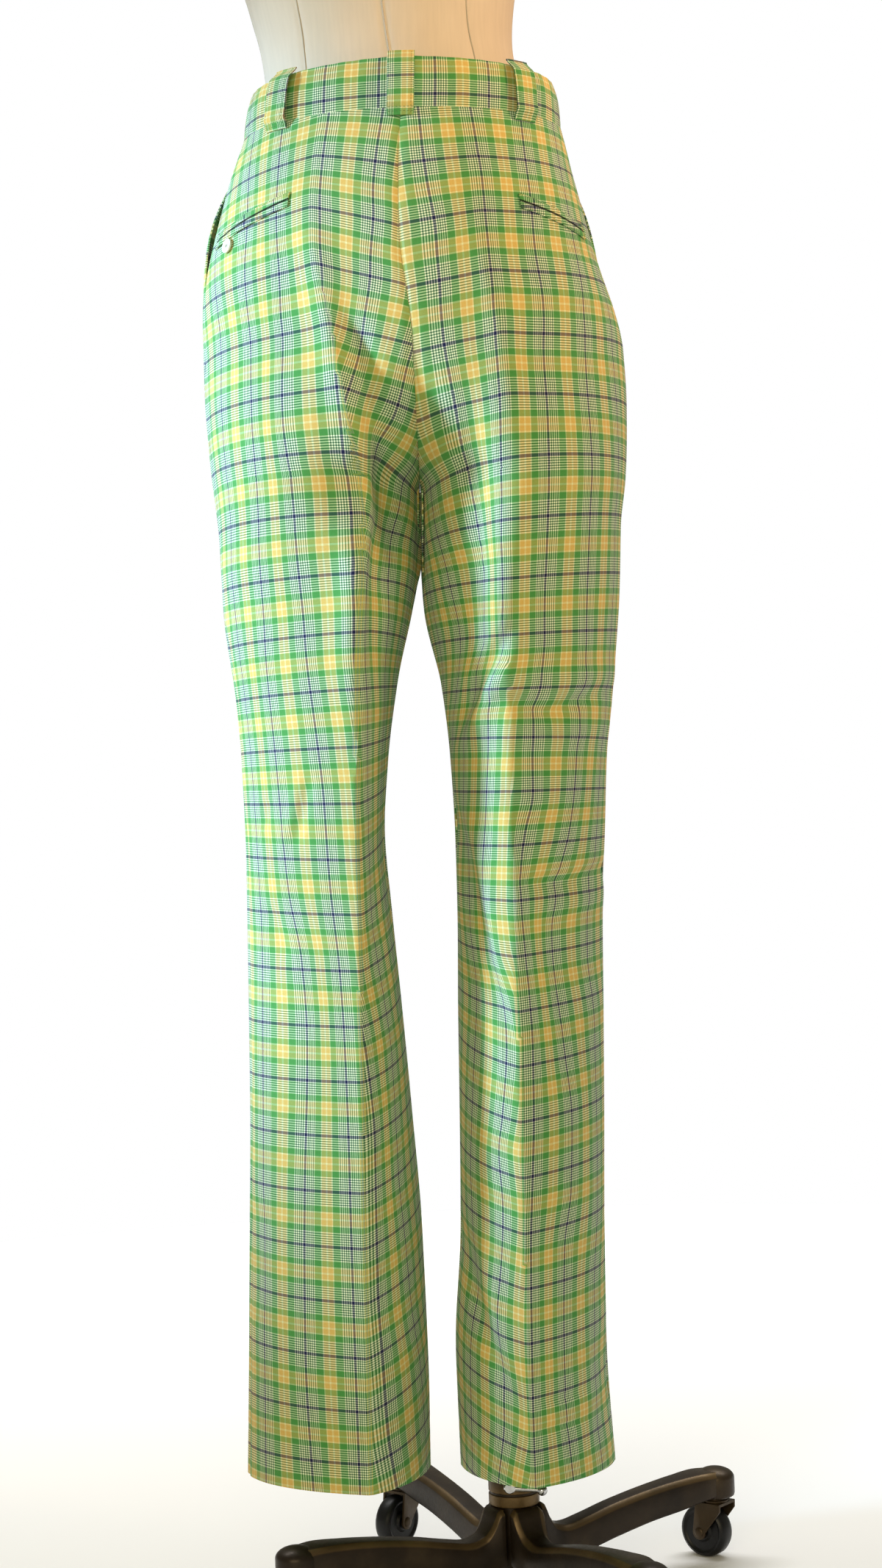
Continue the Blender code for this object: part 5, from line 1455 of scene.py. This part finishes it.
DOME_HEIGHT = 0.0090
DOME_FOOT_Z = BOSS_TOP_Z - DOME_HEIGHT
BOSS_PROFILE = [
    (BOSS_RADIUS - 0.0020, BOSS_FOOT_Z),
    (BOSS_RADIUS - 0.0006, BOSS_FOOT_Z + 0.0010),
    (BOSS_RADIUS, BOSS_FOOT_Z + 0.0030),
    (BOSS_RADIUS, DOME_FOOT_Z),
]
BOSS_PROFILE += [(r, DOME_FOOT_Z + h) for r, h in arc(BOSS_RADIUS, DOME_HEIGHT, 10, 89, 8)]
for index in range(ARM_COUNT):
    arm = skin_rings([arm_ring(reach) for reach in np.linspace(0.0172, 0.1955, ARM_RINGS)])
    boss = turned(BOSS_PROFILE, 40)
    boss.transform(Matrix.Translation((CASTER_REACH, 0, 0)))
    about = Matrix.Translation((POLE_X, 0, 0)) @ Matrix.Rotation(
        math.radians(FIRST_ARM_TURN + 360 / ARM_COUNT * index), 4, "Z")
    for solid in (arm, boss):
        solid.transform(about)
    cast_piece(f"cast_arm_{index + 1}", [arm, boss], "stand", f"stand_arm_{index + 1}", bronze,
               arm_edge_highlight, 60)

# Each caster is a bent steel fork on a short stem, with a rivet for an axle and a hard rubber wheel.
WHEEL_RADIUS = 0.0220
WHEEL_HALF_WIDTH = 0.0080
WHEEL_BORE = 0.0034
CASTER_TRAIL = 0.0100
CASTER_TURN_TO_ARM = 112.0
FORK_HALF_WIDTH = 0.0122
FORK_PLATE = 0.0020
FORK_TOP_Z = 0.0478


def rubber_material():
    made, tree, shader = new_material("hard_rubber")
    place = object_place(tree)
    dust = node_noise(tree, 60.0, 6.0, place)
    tones = ((0.40, (7, 7, 8)), (0.62, (14, 14, 15)), (0.80, (32, 31, 30)))
    set_inputs(tree, shader, {
        "Base Color": colour_run(tree, dust, tones),
        "Roughness": 0.40,
        "Specular IOR Level": 0.3,
    })
    raise_by(tree, shader, node_noise(tree, 700.0, 3.0, place), 0.3, 0.0002)
    return made


rubber = rubber_material()


def plate_between(outline, low, high):
    """A flat plate with eased edges whose outline lies in X and Z, from Y low to Y high."""
    middle = np.array(outline).mean(axis=0)
    arms = np.array(outline) - middle
    eased = middle + arms * (1 - 0.0004 / np.linalg.norm(arms, axis=1, keepdims=True))
    step = 0.0003 if high > low else -0.0003
    rows = ((eased, low), (outline, low + step), (outline, high - step), (eased, high))
    return skin_rings([[(x, y, z) for x, z in points] for points, y in rows])


CROWN_BACK_X = -0.0115
CROWN_FRONT_X = 0.0125
FORK_END_RADIUS = 0.0062
round_end = arc(FORK_END_RADIUS, FORK_END_RADIUS, -180, 1, 10)
FORK_END = [(CASTER_TRAIL + x, WHEEL_RADIUS + h) for x, h in round_end]
FORK_OUTLINE = [(CROWN_BACK_X, FORK_TOP_Z), (CROWN_BACK_X, FORK_TOP_Z - 0.006)] + FORK_END
FORK_OUTLINE += [(CROWN_FRONT_X, FORK_TOP_Z)]
inner = FORK_HALF_WIDTH - FORK_PLATE
under = FORK_TOP_Z - 0.0022
CROWN_OUTLINE = [
    (CROWN_BACK_X, under), (CROWN_FRONT_X, under), (CROWN_FRONT_X, FORK_TOP_Z), (CROWN_BACK_X, FORK_TOP_Z),
]
STEM_PROFILE = (
    (0.0108, FORK_TOP_Z - 0.001), (0.0112, FORK_TOP_Z + 0.0004), (0.0112, FORK_TOP_Z + 0.0016),
    (0.0106, FORK_TOP_Z + 0.0020), (0.0092, FORK_TOP_Z + 0.0020), (0.0092, BOSS_FOOT_Z - SEAM_GAP),
)
head = FORK_HALF_WIDTH + 0.0014
HALF_RIVET = [
    (0.0020, head), (0.0034, head - 0.0004), (0.0041, head - 0.0009),
    (0.0042, FORK_HALF_WIDTH + 0.0001), (0.0030, FORK_HALF_WIDTH - 0.0006),
]
half = WHEEL_HALF_WIDTH
WHEEL_PROFILE = (
    (WHEEL_BORE, -half - 0.0008), (0.0074, -half - 0.0008), (0.0080, -half), (0.0092, -half + 0.0012),
    (0.0160, -half + 0.0014), (0.0172, -half + 0.0004), (WHEEL_RADIUS - 0.0034, -half),
    (WHEEL_RADIUS - 0.0012, -half + 0.0012), (WHEEL_RADIUS, -half + 0.0042), (WHEEL_RADIUS, half - 0.0042),
    (WHEEL_RADIUS - 0.0012, half - 0.0012), (WHEEL_RADIUS - 0.0034, half), (0.0172, half - 0.0004),
    (0.0160, half - 0.0014), (0.0092, half - 0.0012), (0.0080, half), (0.0074, half + 0.0008),
    (WHEEL_BORE, half + 0.0008),
)
AXLE = Matrix.Translation((CASTER_TRAIL, 0, WHEEL_RADIUS)) @ Matrix.Rotation(math.pi / 2, 4, "X")
for index in range(ARM_COUNT):
    arm_turn = math.radians(FIRST_ARM_TURN + 360 / ARM_COUNT * index)
    x = POLE_X + CASTER_REACH * math.cos(arm_turn)
    y = CASTER_REACH * math.sin(arm_turn)
    facing = Matrix.Rotation(arm_turn + math.radians(CASTER_TURN_TO_ARM), 4, "Z")
    swivel = Matrix.Translation((x, y, 0)) @ facing
    stem = turned(STEM_PROFILE, 36)
    rivet = turned([(r, -h) for r, h in HALF_RIVET] + HALF_RIVET[::-1], 28)
    rivet.transform(AXLE)
    parts = [
        plate_between(FORK_OUTLINE, -FORK_HALF_WIDTH, -inner),
        plate_between(FORK_OUTLINE, inner, FORK_HALF_WIDTH),
        plate_between(CROWN_OUTLINE, -inner - 0.001, inner + 0.001),
        stem,
        rivet,
    ]
    for part in parts:
        part.transform(swivel)
    cast_piece(f"fork_casting_{index + 1}", parts, f"caster_{index + 1}", f"caster_fork_{index + 1}",
               bronze, lambda vertex: 0.15)
    tyre = turned(WHEEL_PROFILE, 72, closed=True)
    tyre.transform(swivel @ AXLE)
    cast_piece(f"rubber_wheel_{index + 1}", [tyre], f"wheel_{index + 1}", f"caster_wheel_{index + 1}",
               rubber)

# The clamp is a chromed screw with a short tapered arm and a ball, turned by hand to lock the pole.
LEVER_OFFSET_X = -0.0040
LEVER_Z = 0.0980
LEVER_LENGTH = 0.0260
LEVER_PLANE_Y = -0.0300
LEVER_BALL_RADIUS = 0.0043


def chrome_material():
    made, tree, shader = new_material("chromed_steel")
    haze = node_noise(tree, 240.0, 5.0, object_place(tree))
    set_inputs(tree, shader, {
        "Base Color": colour_run(tree, haze, ((0.35, (196, 198, 202)), (0.70, (226, 228, 230)))),
        "Metallic": 1.0,
        "Roughness": map_range(tree, haze, 0.06, 0.22),
    })
    return made


near = HUB_COLLAR_RADIUS + SEAM_GAP
screw_length = -LEVER_PLANE_Y - near + 0.0035
SCREW_PROFILE = (
    (0.0040, 0.0), (0.0046, 0.0008), (0.0046, 0.0050), (0.0041, 0.0054), (0.0041, 0.0060), (0.0046, 0.0064),
    (0.0046, screw_length - 0.0008), (0.0038, screw_length),
)
screw = turned(SCREW_PROFILE, 40)
screw.transform(Matrix.Translation((0, -near, 0)) @ Matrix.Rotation(math.pi / 2, 4, "X"))
HANDLE_PROFILE = (
    (0.0029, 0.0), (0.0029, 0.004), (0.0026, 0.010), (0.0022, 0.018), (0.0022, LEVER_LENGTH),
)
handle = turned(HANDLE_PROFILE, 28)
handle.transform(Matrix.Translation((0, LEVER_PLANE_Y, 0)) @ Matrix.Rotation(math.radians(97), 4, "Y"))
ball = turned(arc(LEVER_BALL_RADIUS, LEVER_BALL_RADIUS, -88, 89, 8), 32)
drop = LEVER_LENGTH * math.sin(math.radians(7))
ball.transform(Matrix.Translation((LEVER_LENGTH * math.cos(math.radians(7)), LEVER_PLANE_Y, -drop)))
for solid in (screw, handle, ball):
    solid.transform(Matrix.Translation((POLE_X + LEVER_OFFSET_X, 0, LEVER_Z)))
cast_piece("clamp_handle", [screw, handle, ball], "clamp", "clamp_lever", chrome_material())

# The floor is a pale round sheet and all beyond it is white, as in the cut-out photograph. A cool
# window on the left lights the seat and knee, weaker and warmer lamps fill in from the camera's side,
# and one washes the far floor.
FLOOR_RADIUS = 2.0


def plain_stage():
    around = np.linspace(0, 2 * math.pi, 128, endpoint=False)
    rim = [(FLOOR_RADIUS * math.cos(a), FLOOR_RADIUS * math.sin(a), 0.0) for a in around]
    mesh = bpy.data.meshes.new("floor")
    mesh.from_pydata(rim, [], [list(range(len(rim)))])
    floor = into_scene("floor", mesh)
    paint, tree, shader = new_material("pale_floor")
    set_inputs(tree, shader, {"Base Color": (0.93, 0.93, 0.93, 1.0), "Roughness": 0.9})
    mesh.materials.append(paint)
    world = bpy.data.worlds.new("studio")
    world.use_nodes = True
    tree = world.node_tree
    ambient = tree.nodes["Background"]
    set_inputs(tree, ambient, {"Color": (1.0, 0.93, 0.75, 1.0), "Strength": 0.26})
    white = add_node(tree, "ShaderNodeBackground", {"Color": (1.0, 1.0, 1.0, 1.0)})
    either = add_node(tree, "ShaderNodeMixShader", {
        "Fac": add_node(tree, "ShaderNodeLightPath", {}).outputs["Is Camera Ray"],
        1: ambient.outputs["Background"],
        2: white.outputs["Background"],
    })
    set_inputs(tree, tree.nodes["World Output"], {"Surface": either.outputs["Shader"]})
    bpy.context.scene.world = world
    bpy.context.scene.view_settings.view_transform = "Standard"


def set_lamp(name, kind, place, aim, energy, colour):
    lamp = bpy.data.lights.new(name, kind)
    lamp.energy = energy
    lamp.color = colour
    made = into_scene(name, lamp)
    made.location = place
    made.rotation_euler = (Vector(aim) - Vector(place)).to_track_quat("-Z", "Y").to_euler()
    return lamp


def soft_light(name, place, aim, size, spread, energy, colour):
    lamp = set_lamp(name, "AREA", place, aim, energy, colour)
    lamp.shape = "RECTANGLE"
    lamp.size, lamp.size_y = size
    lamp.spread = math.radians(spread)


def window_light(place, aim, cone, energy, colour):
    """Daylight through a window whose sill cuts it off below the knee."""
    lamp = set_lamp("window", "SPOT", place, aim, energy, colour)
    lamp.spot_size = math.radians(cone)
    lamp.spot_blend = 0.22
    lamp.shadow_soft_size = 0.16


plain_stage()
window_light((-2.00, -0.50, 1.30), (-0.15, 0, 0.81), 27, 390, (0.44, 0.68, 1.0))
soft_light("room", (-0.5, -3.2, 1.2), (0, 0, 0.55), (2.0, 1.6), 180, 44, (1.0, 0.86, 0.56))
soft_light("lamp", (2.0, -1.0, 2.1), (0.05, 0, 1.45), (0.4, 0.4), 45, 3.2, (1.0, 0.64, 0.40))
soft_light("backdrop_wash", (0.0, 1.3, 3.6), (0, 3.6, 1.4), (5.0, 1.0), 180, 260, (1.0, 1.0, 1.0))

# The camera stands level with the knee, a little over two metres behind the wearer's back, and leans
# slightly, so uprights tip to the left towards the top.
CAMERA_DISTANCE = 2.07
CAMERA_HEIGHT = 0.64
CAMERA_LEAN = math.radians(-2.22)
lens = bpy.data.cameras.new("camera")
lens.sensor_width = 36.0
lens.lens = 58.88
lens.shift_y = 0.0155
camera = bpy.data.objects.new("camera", lens)
camera.matrix_world = (
    Matrix.Translation((BODY_X + 0.0125, -CAMERA_DISTANCE, CAMERA_HEIGHT))
    @ Matrix.Rotation(math.pi / 2, 4, "X")
    @ Matrix.Rotation(CAMERA_LEAN, 4, "Z")
)
bpy.context.scene.collection.objects.link(camera)
bpy.context.scene.camera = camera
